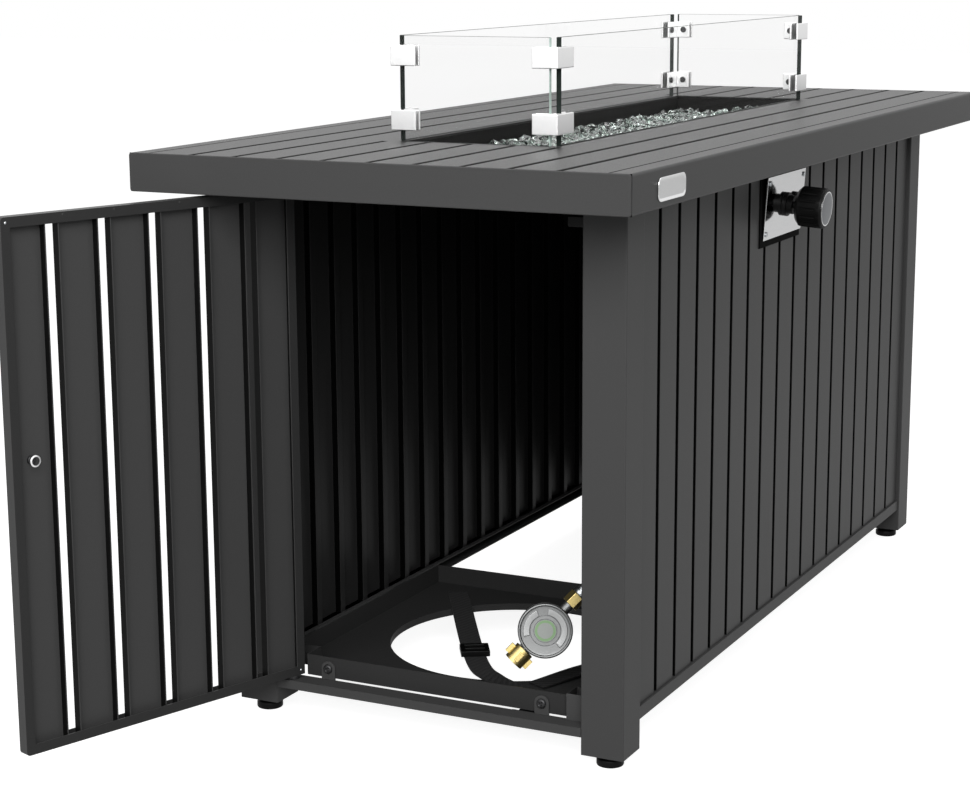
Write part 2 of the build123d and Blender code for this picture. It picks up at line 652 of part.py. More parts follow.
def make_clip_screws(level):
    """The two screws on the inner faces of that clip."""
    half_x = GUARD_LENGTH / 2
    half_y = GUARD_WIDTH / 2
    z = level + CLIP_HEIGHT / 2
    inner_y = -half_y + PANE + CLIP_WALL + OPENING_Y
    inner_x = half_x - PANE - CLIP_WALL
    at_x = half_x + CLIP_WALL - CLIP_ARM_X + CLIP_SCREW_INSET
    at_y = -half_y - CLIP_WALL + CLIP_ARM_Y - CLIP_SCREW_INSET + OPENING_Y
    first = rod(CLIP_SCREW_RADIUS, (at_x, inner_y, z), (at_x, inner_y + CLIP_SCREW_HEAD, z))
    second = rod(CLIP_SCREW_RADIUS, (inner_x, at_y, z), (inner_x - CLIP_SCREW_HEAD, at_y, z))
    return first, second


def at_four_corners(solid):
    """A solid of the far control-side corner, repeated at all four corners of the guard."""
    across = Plane.XZ.offset(-OPENING_Y)
    pair = [solid, mirror(solid, about=across)]
    return pair + [mirror(each, about=Plane.YZ) for each in pair]


# Controls

def make_plates():
    """Dull pad on the panel with a narrower wedge on it, and the polished control plate on the wedge."""
    left = PLATE_X - PLATE_WIDTH / 2
    right = PLATE_X + PLATE_WIDTH / 2
    pad_z = (PLATE_LOW - PAD_LOWER_MARGIN, PLATE_HIGH)
    pad = block((left - PAD_LEFT_MARGIN, right), (PLATE_BACK, -PANEL_FACE), pad_z)
    wedge_x = (left + WEDGE_INSET, right - WEDGE_INSET)
    behind_plate = (PLATE_BACK, PLATE_BACK + CUT_THROUGH)
    wedge = tilt(block(wedge_x, behind_plate, (PLATE_LOW, PLATE_HIGH - WEDGE_INSET)))
    wedge -= block((2 * left, -2 * left), behind_plate, (0, TOP_HEIGHT))
    pad += wedge
    plate = block((left, right), (PLATE_FRONT, PLATE_BACK), (PLATE_LOW, PLATE_HIGH))
    stem_hole = Pos(PLATE_X, PLATE_FRONT, PLATE_Z) * Rot(X=90)
    stem_hole *= Cylinder(STEM_RADIUS + NOSE_CLEARANCE, CUT_THROUGH)
    button_hole = Pos(IGNITER_X, PLATE_FRONT, IGNITER_Z) * Rot(X=90)
    button_hole *= Cylinder(BUTTON_RADIUS + NOSE_CLEARANCE, CUT_THROUGH)
    return pad - control_holes(), tilt(plate - stem_hole - button_hole)


def make_plate_screws():
    """Four domed screws at the corners of the control plate."""
    screws = []
    for x_side in (-1, 1):
        for z_side in (-1, 1):
            x = PLATE_X + x_side * (PLATE_WIDTH / 2 - PLATE_SCREW_INSET)
            z = PLATE_Z + z_side * (PLATE_HEIGHT / 2 - PLATE_SCREW_INSET)
            head = (x, PLATE_FRONT - PLATE_SCREW_HEAD, z)
            screws.append(tilt(rod(PLATE_SCREW_RADIUS, (x, PLATE_FRONT, z), head)))
    return screws


def make_valve():
    """Valve body with its leaning nose through the panel, inlet boss below and outlet boss behind."""
    back = VALVE_FRONT + VALVE_DEPTH
    body = Pos(PLATE_X, VALVE_Y, PLATE_Z) * Box(VALVE_WIDTH, VALVE_DEPTH, VALVE_HEIGHT)
    body = chamfer(body.edges().filter_by(Axis.Y), VALVE_CHAMFER)
    body += tilt(rod(NOSE_RADIUS, (PLATE_X, VALVE_Y, PLATE_Z), (PLATE_X, PLATE_BACK, PLATE_Z)))
    bottom = PLATE_Z - VALVE_HEIGHT / 2
    inlet = (PLATE_X, VALVE_Y, bottom - VALVE_INLET_LENGTH)
    body += rod(VALVE_BOSS_RADIUS, (PLATE_X, VALVE_Y, bottom), inlet)
    body += rod(VALVE_BOSS_RADIUS, (PLATE_X, back, SUPPLY_Z), (PLATE_X, back + VALVE_OUTLET_LENGTH, SUPPLY_Z))
    bore_end = (PLATE_X, VALVE_Y + KNOB_PUSH, PLATE_Z)
    return body - tilt(rod(STEM_RADIUS + STEM_CLEARANCE, (PLATE_X, PLATE_BACK, PLATE_Z), bore_end))


def make_stem():
    """Valve stem, with room behind it for the push."""
    end = KNOB_BACK - KNOB_BORE_DEPTH
    return tilt(rod(STEM_RADIUS, (PLATE_X, VALVE_Y - STEM_END_GAP, PLATE_Z), (PLATE_X, end, PLATE_Z)))


def make_collar():
    """Stepped collar round the stem, seated on the control plate."""
    seat = (PLATE_X, PLATE_FRONT, PLATE_Z)
    end = (PLATE_X, PLATE_FRONT - COLLAR_LENGTH, PLATE_Z)
    collar = rod(COLLAR_STEP_RADIUS, seat, (PLATE_X, PLATE_FRONT - COLLAR_STEP, PLATE_Z))
    collar += rod(COLLAR_RADIUS, seat, end)
    return tilt(collar - rod(STEM_RADIUS + NOSE_CLEARANCE, seat, end))


def make_knob():
    """Round knob: fluted skirt, recess round the stem and a blind bore on it."""
    outline = Polyline(
        (0, 0), (KNOB_RADIUS - KNOB_SHOULDER, 0), (KNOB_RADIUS, KNOB_SHOULDER),
        (KNOB_RADIUS, KNOB_LENGTH - 2 * KNOB_EDGE), (KNOB_RADIUS - KNOB_EDGE, KNOB_LENGTH),
        (0, KNOB_LENGTH), close=True)
    knob = revolve(Plane.XZ * make_face(outline), axis=Axis.Z)
    knob -= Pos(0, 0, KNOB_RECESS_DEPTH / 2) * Cylinder(KNOB_RECESS_RADIUS, KNOB_RECESS_DEPTH)
    knob -= Pos(0, 0, KNOB_BORE_DEPTH / 2) * Cylinder(STEM_RADIUS + STEM_CLEARANCE, KNOB_BORE_DEPTH)
    flute = Cylinder(KNOB_FLUTE_RADIUS, KNOB_FLUTE_LENGTH)
    for index in range(KNOB_FLUTES):
        turn = Rot(Z=360 / KNOB_FLUTES * index)
        knob -= turn * Pos(KNOB_RADIUS + KNOB_FLUTE_SET_OUT, 0, KNOB_LENGTH / 2) * flute
    return tilt(Plane(origin=(PLATE_X, KNOB_BACK, PLATE_Z), x_dir=(1, 0, 0), z_dir=(0, -1, 0)) * knob)


def make_igniter():
    """Igniter housing behind the panel, its ring on the plate and the sprung button."""
    back = PLATE_BACK + IGNITER_LENGTH
    at = (IGNITER_X, IGNITER_Z)
    housing = rod(IGNITER_RADIUS, (at[0], PLATE_BACK, at[1]), (at[0], back, at[1]))
    bore_end = PLATE_BACK + IGNITER_BORE_DEPTH
    housing -= rod(BUTTON_RADIUS + BUTTON_CLEARANCE, (at[0], PLATE_BACK, at[1]), (at[0], bore_end, at[1]))
    ring_front = PLATE_FRONT - IGNITER_RING
    ring = rod(IGNITER_RING_RADIUS, (at[0], PLATE_FRONT, at[1]), (at[0], ring_front, at[1]))
    ring -= rod(BUTTON_RADIUS + NOSE_CLEARANCE, (at[0], PLATE_FRONT, at[1]), (at[0], ring_front, at[1]))
    button_front = PLATE_FRONT - BUTTON_PROUD
    button = rod(BUTTON_RADIUS, (at[0], button_front, at[1]), (at[0], button_front + BUTTON_LENGTH, at[1]))
    button = fillet(button.edges().sort_by(Axis.Y)[0], BUTTON_RADIUS / 5)
    return tilt(housing), tilt(ring), tilt(button)


# Bottle tray

def make_tray():
    """Bottle tray: folded pan with a collared hole, a tongue between the posts and ears on the side rails."""
    back = TRAY_FRONT + TRAY_LENGTH
    shoulder = TRAY_FRONT + TRAY_TONGUE_LENGTH
    tongue = TRAY_TONGUE_WIDTH / 2
    side = TRAY_WIDTH / 2
    corners = [(TRAY_FRONT, -tongue), (shoulder, -tongue), (shoulder, -side), (back, -side)]
    outline = corners + [(x, -y) for x, y in reversed(corners)]
    plan = make_face(Polyline(*outline, close=True))
    tray = extrude(Pos(0, 0, TRAY_FLOOR) * plan, amount=TRAY_FLANGE)
    inside = offset(plan, -TRAY_SHEET, kind=Kind.INTERSECTION)
    tray -= extrude(Pos(0, 0, TRAY_TOP) * inside, amount=TRAY_FLANGE)
    collar_z = TRAY_TOP - TRAY_HOLE_COLLAR / 2
    tray += Pos(TRAY_MIDDLE, 0, collar_z) * Cylinder(TRAY_HOLE_RADIUS + TRAY_SHEET, TRAY_HOLE_COLLAR)
    tray -= Pos(TRAY_MIDDLE, 0, TRAY_FLOOR) * Cylinder(TRAY_HOLE_RADIUS, CUT_THROUGH)
    for middle in (shoulder + TRAY_EAR_INSET, back - TRAY_EAR_INSET):
        x = (middle - TRAY_EAR / 2, middle + TRAY_EAR / 2)
        ear = block(x, (side - TRAY_SHEET, RAIL_INNER), (TRAY_FLOOR, TRAY_TOP))
        ear += block(x, (RAIL_INNER - TRAY_SHEET, RAIL_INNER), (TRAY_FLOOR, RAIL_TOP))
        tray += ear
        tray += mirror(ear, about=Plane.XZ)
    screw_hole = Cylinder(TRAY_SCREW_RADIUS + STUD_CLEARANCE, 4 * TRAY_SHEET)
    for y in (-TAB_SPREAD / 2, TAB_SPREAD / 2):
        tray -= Pos(TRAY_FRONT, y, TAB_SCREW_Z) * Rot(Y=90) * screw_hole
    return tray


def make_tabs():
    """Round-topped tabs that stand on the sill and hold the tray's front flange."""
    tabs = []
    for y in (-TAB_SPREAD / 2, TAB_SPREAD / 2):
        straight = TAB_HEIGHT - TAB_WIDTH / 2
        outline = Pos(0, straight / 2) * Rectangle(TAB_WIDTH, straight)
        outline += Pos(0, straight) * Circle(TAB_WIDTH / 2)
        outline -= Pos(0, TAB_SCREW_RISE) * Circle(TRAY_SCREW_RADIUS + STUD_CLEARANCE)
        plane = Plane(origin=(SILL_INNER, y, SILL_TOP), x_dir=(0, -1, 0), z_dir=(-1, 0, 0))
        tabs.append(extrude(plane * outline, amount=TAB_SHEET))
    return tabs


def make_tray_screws():
    """Pan-head screws through the tabs into the tray's flange."""
    screws = []
    for y in (-TAB_SPREAD / 2, TAB_SPREAD / 2):
        face = SILL_INNER - TAB_SHEET
        head = rod(TRAY_SCREW_HEAD_RADIUS, (face, y, TAB_SCREW_Z), (face - TRAY_SCREW_HEAD, y, TAB_SCREW_Z))
        head = fillet(head.edges().sort_by(Axis.X)[0], TRAY_SCREW_HEAD / 2)
        shank = rod(TRAY_SCREW_RADIUS, (face, y, TAB_SCREW_Z), (face + TRAY_SCREW_LENGTH, y, TAB_SCREW_Z))
        screws.append(head + shank)
    return screws


def make_strap():
    """Bottle strap laid loose on the tray: a long length over the hole and a short one beside it."""
    level = TRAY_TOP + STRAP_GAP
    solids = []
    for points in (LONG_STRAP_POINTS, SHORT_STRAP_POINTS):
        run = Polyline(*[(TRAY_MIDDLE + x, y) for x, y in points])
        solids.append(extrude(Pos(0, 0, level) * trace(run, STRAP_WIDTH), amount=STRAP))
    buckle = Box(BUCKLE_LENGTH, BUCKLE_WIDTH, BUCKLE_HEIGHT)
    slot = (BUCKLE_LENGTH - 3 * BUCKLE_BAR) / 2
    window = Box(slot, BUCKLE_WIDTH - 2 * BUCKLE_BAR, BUCKLE_HEIGHT)
    for side in (-1, 1):
        buckle -= Pos(side * (slot + BUCKLE_BAR) / 2, 0, 0) * window
    rise = level + STRAP + STRAP_GAP + BUCKLE_HEIGHT / 2
    return solids, Pos(TRAY_MIDDLE + BUCKLE_AT[0], BUCKLE_AT[1], rise) * Rot(Z=BUCKLE_TURN) * buckle


# Door, built along +X from its pivot with its inner face at +Y, then swung open

def hang(solid):
    """Place a door piece on its pivot at the open angle."""
    return Pos(PIVOT_X, PIVOT_Y, DOOR_BOTTOM) * Rot(Z=270 - DOOR_OPEN_ANGLE) * solid


def round_free_corners(solid, radius):
    """Round the upper and lower corners of the door's free edge."""
    return fillet(solid.edges().filter_by(Axis.Y).sort_by(Axis.X)[-2:], radius)


def make_door_frame():
    """Frame of folded channel, open towards the slats, bored for the pivot pins."""
    x = (-DOOR_PIVOT_TO_EDGE, DOOR_REACH)
    y = (-DOOR_DEPTH / 2, DOOR_DEPTH / 2)
    z = (0, DOOR_HEIGHT)
    inner_x = (x[0] + DOOR_SHEET, x[1] - DOOR_SHEET)
    inner_y = (y[0] + DOOR_SHEET, y[1] - DOOR_SHEET)
    inner_z = (z[0] + DOOR_SHEET, z[1] - DOOR_SHEET)
    frame = round_free_corners(block(x, y, z), DOOR_CORNER)
    window_x = (x[0] + DOOR_FLANGE, x[1] - DOOR_FLANGE)
    window_z = (z[0] + DOOR_FLANGE, z[1] - DOOR_FLANGE)
    frame -= block(window_x, (2 * y[0], 2 * y[1]), window_z)
    frame -= round_free_corners(block(inner_x, inner_y, inner_z), DOOR_CORNER - DOOR_SHEET)
    return hang(frame - Cylinder(PIN_RADIUS, 4 * DOOR_HEIGHT))


def make_door_slats():
    """Upright channels with their edges folded inwards, held in the frame's channel."""
    width = DOOR_SLAT_PITCH - DOOR_SLAT_GAP
    middle = (DOOR_REACH - DOOR_PIVOT_TO_EDGE) / 2
    web = -DOOR_DEPTH / 2 + DOOR_SHEET
    section = Pos(0, DOOR_SLAT_FLANGE / 2) * Rectangle(width, DOOR_SLAT_FLANGE)
    section -= Pos(0, DOOR_SLAT_FLANGE / 2 + DOOR_SHEET) * Rectangle(width - 2 * DOOR_SHEET, DOOR_SLAT_FLANGE)
    slat = extrude(section, amount=DOOR_HEIGHT - 2 * DOOR_SHEET)
    pull_hole = Pos(DOOR_REACH - PULL_FROM_EDGE, 0, PULL_HEIGHT) * Rot(X=90)
    pull_hole *= Cylinder(PULL_SCREW_RADIUS, 2 * DOOR_DEPTH)
    solids = []
    for index in range(DOOR_SLATS):
        x = middle + DOOR_SLAT_PITCH * (index - (DOOR_SLATS - 1) / 2)
        solids.append(hang(Pos(x, web, DOOR_SHEET) * slat - pull_hole))
    return solids


def make_door_pins():
    """Pivot pins fixed in the frame, one down into the sill and one up into the header, with a washer."""
    low = -DOOR_SILL_GAP - RAIL_WALL
    high = DOOR_HEIGHT + DOOR_TOP_GAP + RAIL_WALL
    lower = rod(PIN_RADIUS, (0, 0, low), (0, 0, DOOR_SHEET))
    upper = rod(PIN_RADIUS, (0, 0, DOOR_HEIGHT - DOOR_SHEET), (0, 0, high))
    washer = Pos(0, 0, (WASHER_GAP - DOOR_SILL_GAP) / 2) * Cylinder(WASHER_RADIUS, DOOR_SILL_GAP - WASHER_GAP)
    return hang(lower + washer), hang(upper)


def make_pull():
    """Turned pull knob on the outer face and its screw from inside."""
    face = -DOOR_DEPTH / 2 + DOOR_SHEET
    outline = Polyline(
        (0, 0), (PULL_NECK_RADIUS, 0), (PULL_NECK_RADIUS, PULL_NECK_LENGTH),
        (PULL_RADIUS, PULL_NECK_LENGTH + PULL_FLARE), (PULL_RADIUS, PULL_LENGTH - PULL_EDGE),
        (PULL_RADIUS - PULL_EDGE, PULL_LENGTH), (0, PULL_LENGTH), close=True)
    pull = revolve(Plane.XZ * make_face(outline), axis=Axis.Z)
    pull -= Pos(0, 0, PULL_THREAD_DEPTH / 2) * Cylinder(PULL_SCREW_RADIUS, PULL_THREAD_DEPTH)
    x = DOOR_REACH - PULL_FROM_EDGE
    pull = Plane(origin=(x, face, PULL_HEIGHT), x_dir=(1, 0, 0), z_dir=(0, -1, 0)) * pull
    inner = face + DOOR_SHEET
    head = rod(PULL_SCREW_HEAD_RADIUS, (x, inner, PULL_HEIGHT), (x, inner + PULL_SCREW_HEAD, PULL_HEIGHT))
    shank = rod(PULL_SCREW_RADIUS, (x, inner, PULL_HEIGHT), (x, face - PULL_THREAD_DEPTH, PULL_HEIGHT))
    return hang(pull), hang(head + shank)


def make_catches():
    """Magnet catch and lower door stop on the control-side post's inner face."""
    front = DOOR_INNER_FACE + CATCH_GAP
    y = (-DOORWAY, -DOORWAY + CATCH_LENGTH)
    catch = block((front, front + CATCH_DEPTH), y, (CATCH_Z - CATCH_HEIGHT / 2, CATCH_Z + CATCH_HEIGHT / 2))
    z = (SILL_TOP, SILL_TOP + STOP_HEIGHT)
    stop = block((front, front + STOP_SHEET), y, z)
    stop += block((front, front + CATCH_DEPTH), (y[0], y[0] + STOP_SHEET), z)
    return catch, stop


# Regulator, built with the flow along +X and the disc's face towards +Z

def regulator_plane():
    """Plane of the disc, turned so that the flow rises towards the control side."""
    facing = Vector(*REGULATOR_FACING).normalized()
    level = Vector(0, 0, 1).cross(facing).normalized()
    rise = facing.cross(level)
    flow = level * cos(radians(REGULATOR_LEAN)) + rise * sin(radians(REGULATOR_LEAN))
    return Plane(origin=REGULATOR_AT, x_dir=flow, z_dir=facing)


def make_regulator():
    """Die-cast bowl with its bosses, and the rimmed cover with raised sectors round a plain hub."""
    bowl_outline = Polyline(
        (0, 0), (DISC_RADIUS, 0), (DISC_RADIUS, -DISC_FLANGE), (BOWL_RADIUS, -DISC_FLANGE),
        (BOWL_FLOOR_RADIUS, -DISC_FLANGE - BOWL_DEPTH), (0, -DISC_FLANGE - BOWL_DEPTH), close=True)
    bowl = revolve(Plane.XZ * make_face(bowl_outline), axis=Axis.Z)
    middle = -DISC_FLANGE - BOWL_DEPTH / 2
    bowl += rod(OUTLET_RADIUS, (0, 0, middle), (OUTLET_REACH, 0, middle))
    bowl += rod(INLET_RADIUS, (0, 0, middle), (-INLET_REACH, 0, middle))
    bowl += rod(INLET_COLLAR_RADIUS, (0, 0, middle), (INLET_COLLAR_GAP - WING_NUT_START, 0, middle))
    face = COVER_HEIGHT - COVER_RECESS
    cover_outline = Polyline(
        (0, 0), (DISC_RADIUS, 0), (DISC_RADIUS, COVER_HEIGHT - COVER_EDGE),
        (DISC_RADIUS - COVER_EDGE, COVER_HEIGHT), (DISC_RADIUS - DISC_RIM, COVER_HEIGHT),
        (DISC_RADIUS - DISC_RIM, face), (HUB_RADIUS, face),
        (HUB_RADIUS - COVER_EDGE, COVER_HEIGHT), (0, COVER_HEIGHT), close=True)
    cover = revolve(Plane.XZ * make_face(cover_outline), axis=Axis.Z)
    ring = Circle(SECTOR_RADIUS + SECTOR_WIDTH / 2) - Circle(SECTOR_RADIUS - SECTOR_WIDTH / 2)
    for start, end in SECTOR_SPANS:
        wedge_reach = 2 * DISC_RADIUS
        spread = wedge_reach * tan(radians((end - start) / 2))
        wedge = make_face(Polyline((0, 0), (wedge_reach, -spread), (wedge_reach, spread), close=True))
        sector = ring & (Rot(Z=(start + end) / 2) * wedge)
        cover += extrude(Pos(0, 0, face) * sector, amount=COVER_RECESS)
    plane = regulator_plane()
    return plane * bowl, plane * cover, middle


def make_regulator_fittings(middle):
    """Outlet hex nut, crimped hose ferrule and the winged inlet nut."""
    hex_plane = Plane(origin=(OUTLET_REACH, 0, middle), x_dir=(0, 1, 0), z_dir=(1, 0, 0))
    nut = extrude(hex_plane * RegularPolygon(HEX_RADIUS, 6), amount=HEX_LENGTH)
    crimp_start = OUTLET_REACH + HEX_LENGTH
    ferrule = rod(FERRULE_RADIUS, (crimp_start, 0, middle), (crimp_start + FERRULE_LENGTH, 0, middle))
    hub_plane = Plane(origin=(-WING_NUT_START, 0, middle), x_dir=(0, 1, 0), z_dir=(-1, 0, 0))
    hub = Pos(0, 0, WING_NUT_LENGTH / 2) * Cylinder(WING_HUB_RADIUS, WING_NUT_LENGTH)
    for index in range(WING_COUNT):
        wing = Pos(WING_REACH / 2, 0, WING_NUT_LENGTH / 2) * Box(WING_REACH, WING_THICKNESS, WING_LENGTH)
        hub += Rot(Z=360 / WING_COUNT * index) * wing
    hub -= Pos(0, 0, WING_NUT_LENGTH / 2) * Cylinder(INLET_RADIUS + STEM_CLEARANCE, WING_NUT_LENGTH)
    thread_start = WING_NUT_LENGTH - WING_THREAD_LENGTH
    hub -= Pos(0, 0, thread_start + WING_THREAD_LENGTH / 2) * Cylinder(WING_THREAD_RADIUS, WING_THREAD_LENGTH)
    plane = regulator_plane()
    hose_end = plane.from_local_coords(Vector(crimp_start + FERRULE_LENGTH, 0, middle))
    return plane * nut, plane * ferrule, plane * (hub_plane * hub), hose_end


def make_valve_ferrule():
    """Nut and ferrule under the valve's inlet, with the point where the hose leaves it."""
    top = PLATE_Z - VALVE_HEIGHT / 2 - VALVE_INLET_LENGTH
    nut = extrude(Pos(PLATE_X, VALVE_Y, top - HEX_LENGTH) * RegularPolygon(HEX_RADIUS, 6), amount=HEX_LENGTH)
    end = (PLATE_X, VALVE_Y, top - HEX_LENGTH - FERRULE_LENGTH)
    ferrule = rod(FERRULE_RADIUS, (PLATE_X, VALVE_Y, top - HEX_LENGTH), end)
    return nut, ferrule, end


def make_hose(start, end):
    """Gas hose along straight runs with arcs as large as the runs allow."""
    leaving = Vector(*start) - Vector(0, 0, HOSE_TAIL)
    arriving = Vector(*end) + regulator_plane().x_dir * HOSE_TAIL
    points = [Vector(*start), leaving] + [Vector(*point) for point in HOSE_POINTS] + [arriving, Vector(*end)]
    radii = []
    for before, corner, after in zip(points, points[1:], points[2:]):
        turn = (corner - before).get_angle(after - corner)
        shorter = min((corner - before).length, (after - corner).length)
        radii.append(HOSE_ARC_SHARE * shorter / tan(radians(turn / 2)))
    path = FilletPolyline(*points, radius=radii)
    hose = sweep(Plane(origin=points[0], z_dir=points[1] - points[0]) * Circle(HOSE_RADIUS), path=path)
    print("hose points", [tuple(round(value) for value in point) for point in points])
    print("hose bend radii", [round(radius) for radius in radii], "length", round(path.length, 1))
    share = hose.volume / (Circle(HOSE_RADIUS).area * path.length)
    print("hose volume over section times length", round(share, 4))
    return hose


def build_table():
    """Make every node of the table and its cabinet."""
    save("top_sheet", make_top_sheet())
    front_fascia, back_fascia = mirrored_pair(make_side_fascia(), Plane.XZ)
    save("front_fascia", front_fascia)
    save("back_fascia", back_fascia)
    far_fascia, door_fascia = mirrored_pair(make_end_fascia(), Plane.YZ)
    save("far_end_fascia", far_fascia)
    save("door_end_fascia", door_fascia)
    side_bar, end_bar = make_top_bars()
    save("top_bars", *mirrored_pair(side_bar, Plane.XZ), *mirrored_pair(end_bar, Plane.YZ))
    for end_name, x_side in (("door", -1), ("far", 1)):
        for side_name, y_side in (("front", -1), ("back", 1)):
            save(f"{end_name}_{side_name}_post", make_post(x_side, y_side))
            save(f"{end_name}_{side_name}_foot", make_foot(x_side, y_side))
    side_panel = make_side_panel()
    save("front_panel", side_panel - control_holes())
    save("back_panel", Rot(Z=180) * side_panel)
    save("far_end_panel", make_end_panel())
    front_rail, back_rail = mirrored_pair(make_side_rail(), Plane.XZ)
    save("front_bottom_rail", front_rail)
    save("back_bottom_rail", back_rail)
    save("far_end_bottom_rail", make_end_rail())
    save("door_sill", doorway_rail(SILL_BOTTOM, SILL_HEIGHT))
    save("door_header", doorway_rail(HEADER_BOTTOM, HEADER_HEIGHT))
    catch, stop = make_catches()
    save("door_magnet_catch", catch)
    save("door_stop_bracket", stop)


def build_burner_and_guard():
    """Make the burner, its glass bed and the wind guard."""
    save("burner_pan", make_pan())
    save("burner_tube", make_burner())
    save("burner_supply_tube", make_supply_tube())
    save("spark_electrode", make_electrode())
    save("fire_glass", *make_fire_glass())
    side_pane, end_pane = make_panes()
    across = Plane.XZ.offset(-OPENING_Y)
    save("guard_side_panes", *mirrored_pair(side_pane, across))
    save("guard_end_panes", *mirrored_pair(end_pane, Plane.YZ))
    levels = (TOP_HEIGHT + CLIP_LOW, TOP_HEIGHT + GUARD_HEIGHT - CLIP_TOP_DROP - CLIP_HEIGHT)
    clips = []
    screws = []
    for level in levels:
        clips += at_four_corners(make_clip(level))
        for screw in make_clip_screws(level):
            screws += at_four_corners(screw)
    save("guard_clips", *clips)
    save("guard_clip_screws", *screws)


def build_controls_and_gas():
    """Make the control plate, knob, igniter, valve, hose and regulator."""
    pad, plate = make_plates()
    save("control_pad", pad)
    save("control_plate", plate)
    save("control_plate_screws", *make_plate_screws())
    save("gas_valve", make_valve())
    save("valve_stem", make_stem())
    save("knob_collar", make_collar())
    save("control_knob", make_knob())
    cap_end = (PLATE_X, KNOB_FRONT - KNOB_CAP, PLATE_Z)
    save("knob_cap", tilt(rod(KNOB_CAP_RADIUS, (PLATE_X, KNOB_FRONT, PLATE_Z), cap_end)))
    housing, ring, button = make_igniter()
    save("igniter_housing", housing)
    save("igniter_ring", ring)
    save("igniter_button", button)
    bowl, cover, middle = make_regulator()
    save("regulator_body", bowl)
    save("regulator_cover", cover)
    outlet_nut, regulator_ferrule, wing_nut, hose_end = make_regulator_fittings(middle)
    valve_nut, valve_ferrule, hose_start = make_valve_ferrule()
    save("hose_nuts", valve_nut, outlet_nut)
    save("hose_ferrules", valve_ferrule, regulator_ferrule)
    save("inlet_wing_nut", wing_nut)
    save("gas_hose", make_hose(hose_start, hose_end))


def build_tray_and_door():
    """Make the bottle tray with its strap, and the door."""
    save("bottle_tray", make_tray())
    save("tray_tabs", *make_tabs())
    save("tray_screws", *make_tray_screws())
    straps, buckle = make_strap()
    save("bottle_strap", *straps)
    save("strap_buckle", buckle)
    save("door_frame", make_door_frame())
    save("door_slats", *make_door_slats())
    save("door_pivot_pins", *make_door_pins())
    pull, pull_screw = make_pull()
    save("door_pull", pull)
    save("door_pull_screw", pull_screw)


os.makedirs("parts", exist_ok=True)
build_table()
build_burner_and_guard()
build_controls_and_gas()
build_tray_and_door()
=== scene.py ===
"""Dress the packed gas fire pit table: powder-coated sheet, glass, brass, webbing and a plain studio."""

import json
import logging
import math
from dataclasses import dataclass, field, replace
from enum import Enum
from random import Random
from typing import Any, Callable, Sequence

import bmesh
import bpy
from mathutils import Matrix, Vector

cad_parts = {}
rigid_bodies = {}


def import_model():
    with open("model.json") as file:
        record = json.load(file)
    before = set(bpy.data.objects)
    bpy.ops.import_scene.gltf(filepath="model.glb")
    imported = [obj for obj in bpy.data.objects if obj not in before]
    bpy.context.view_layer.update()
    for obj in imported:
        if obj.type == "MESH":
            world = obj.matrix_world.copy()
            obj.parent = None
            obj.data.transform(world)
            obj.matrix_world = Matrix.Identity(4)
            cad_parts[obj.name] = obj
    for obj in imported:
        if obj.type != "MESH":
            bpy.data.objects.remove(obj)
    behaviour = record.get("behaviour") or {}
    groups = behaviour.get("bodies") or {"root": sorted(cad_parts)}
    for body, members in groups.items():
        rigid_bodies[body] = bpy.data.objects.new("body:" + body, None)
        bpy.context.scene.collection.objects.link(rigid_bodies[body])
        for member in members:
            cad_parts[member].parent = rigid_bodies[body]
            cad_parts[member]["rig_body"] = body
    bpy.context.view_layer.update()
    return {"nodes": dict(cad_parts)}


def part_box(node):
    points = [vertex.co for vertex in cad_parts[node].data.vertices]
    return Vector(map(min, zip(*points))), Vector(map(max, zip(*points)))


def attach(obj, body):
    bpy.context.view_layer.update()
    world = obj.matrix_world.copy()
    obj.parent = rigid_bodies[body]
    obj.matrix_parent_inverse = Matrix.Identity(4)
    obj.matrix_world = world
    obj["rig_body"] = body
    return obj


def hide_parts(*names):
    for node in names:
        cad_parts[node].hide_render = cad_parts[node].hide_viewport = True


Tree = bpy.types.NodeTree
Socket = bpy.types.NodeSocket
Mesh = bmesh.types.BMesh
Piece = bpy.types.Object
Profile = Sequence[tuple[float, float]]

LOG = logging.getLogger("fire_pit")
MM = 0.001
SHARP_ANGLE = math.radians(50)
EASED_ANGLE = math.radians(28)
LIP_ANGLE = math.radians(60)
COPLANAR = math.radians(0.5)
MERGE = 0.01 * MM
UP = Vector((0.0, 0.0, 1.0))
ALONG_X = Vector((1.0, 0.0, 0.0))
# Sockets of a Mix node that is set to colours: its share, its two colours and its result.
SHARE, FIRST, SECOND, MIXED = 0, 6, 7, 2

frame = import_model()


class Axis(Enum):
    """Axis that a pattern or a shade is measured along."""

    X = 0
    Y = 1
    Z = 2


# Shader nodes

def linear(hex_colour: str) -> tuple[float, float, float, float]:
    """Turn an sRGB hex colour into linear values.

    Args:
        hex_colour: Colour as "#rrggbb".

    Returns:
        Red, green, blue and an alpha of 1.
    """
    channels = [int(hex_colour[start:start + 2], 16) / 255 for start in (1, 3, 5)]
    red, green, blue = (c / 12.92 if c <= 0.04045 else ((c + 0.055) / 1.055) ** 2.4 for c in channels)
    return red, green, blue, 1.0


def add_node(tree: Tree, kind: str, inputs: dict | None = None, **settings: Any) -> bpy.types.Node:
    """Add one shader node with its settings, constants and links.

    Args:
        tree: Node tree that gets the node.
        kind: Node type without its "ShaderNode" start.
        inputs: Socket name or number to a constant, or to the socket that is linked to it.
        **settings: Properties of the node.

    Returns:
        The new node.
    """
    node = tree.nodes.new("ShaderNode" + kind)
    for name, value in settings.items():
        setattr(node, name, value)
    for name, value in (inputs or {}).items():
        if isinstance(value, bpy.types.NodeSocket):
            tree.links.new(value, node.inputs[name])
        else:
            node.inputs[name].default_value = value
    return node


def per_metre(size_mm: float) -> float:
    """Texture scale at which one cell of a pattern is about that many millimetres wide."""
    return 1.0 / (size_mm * MM)


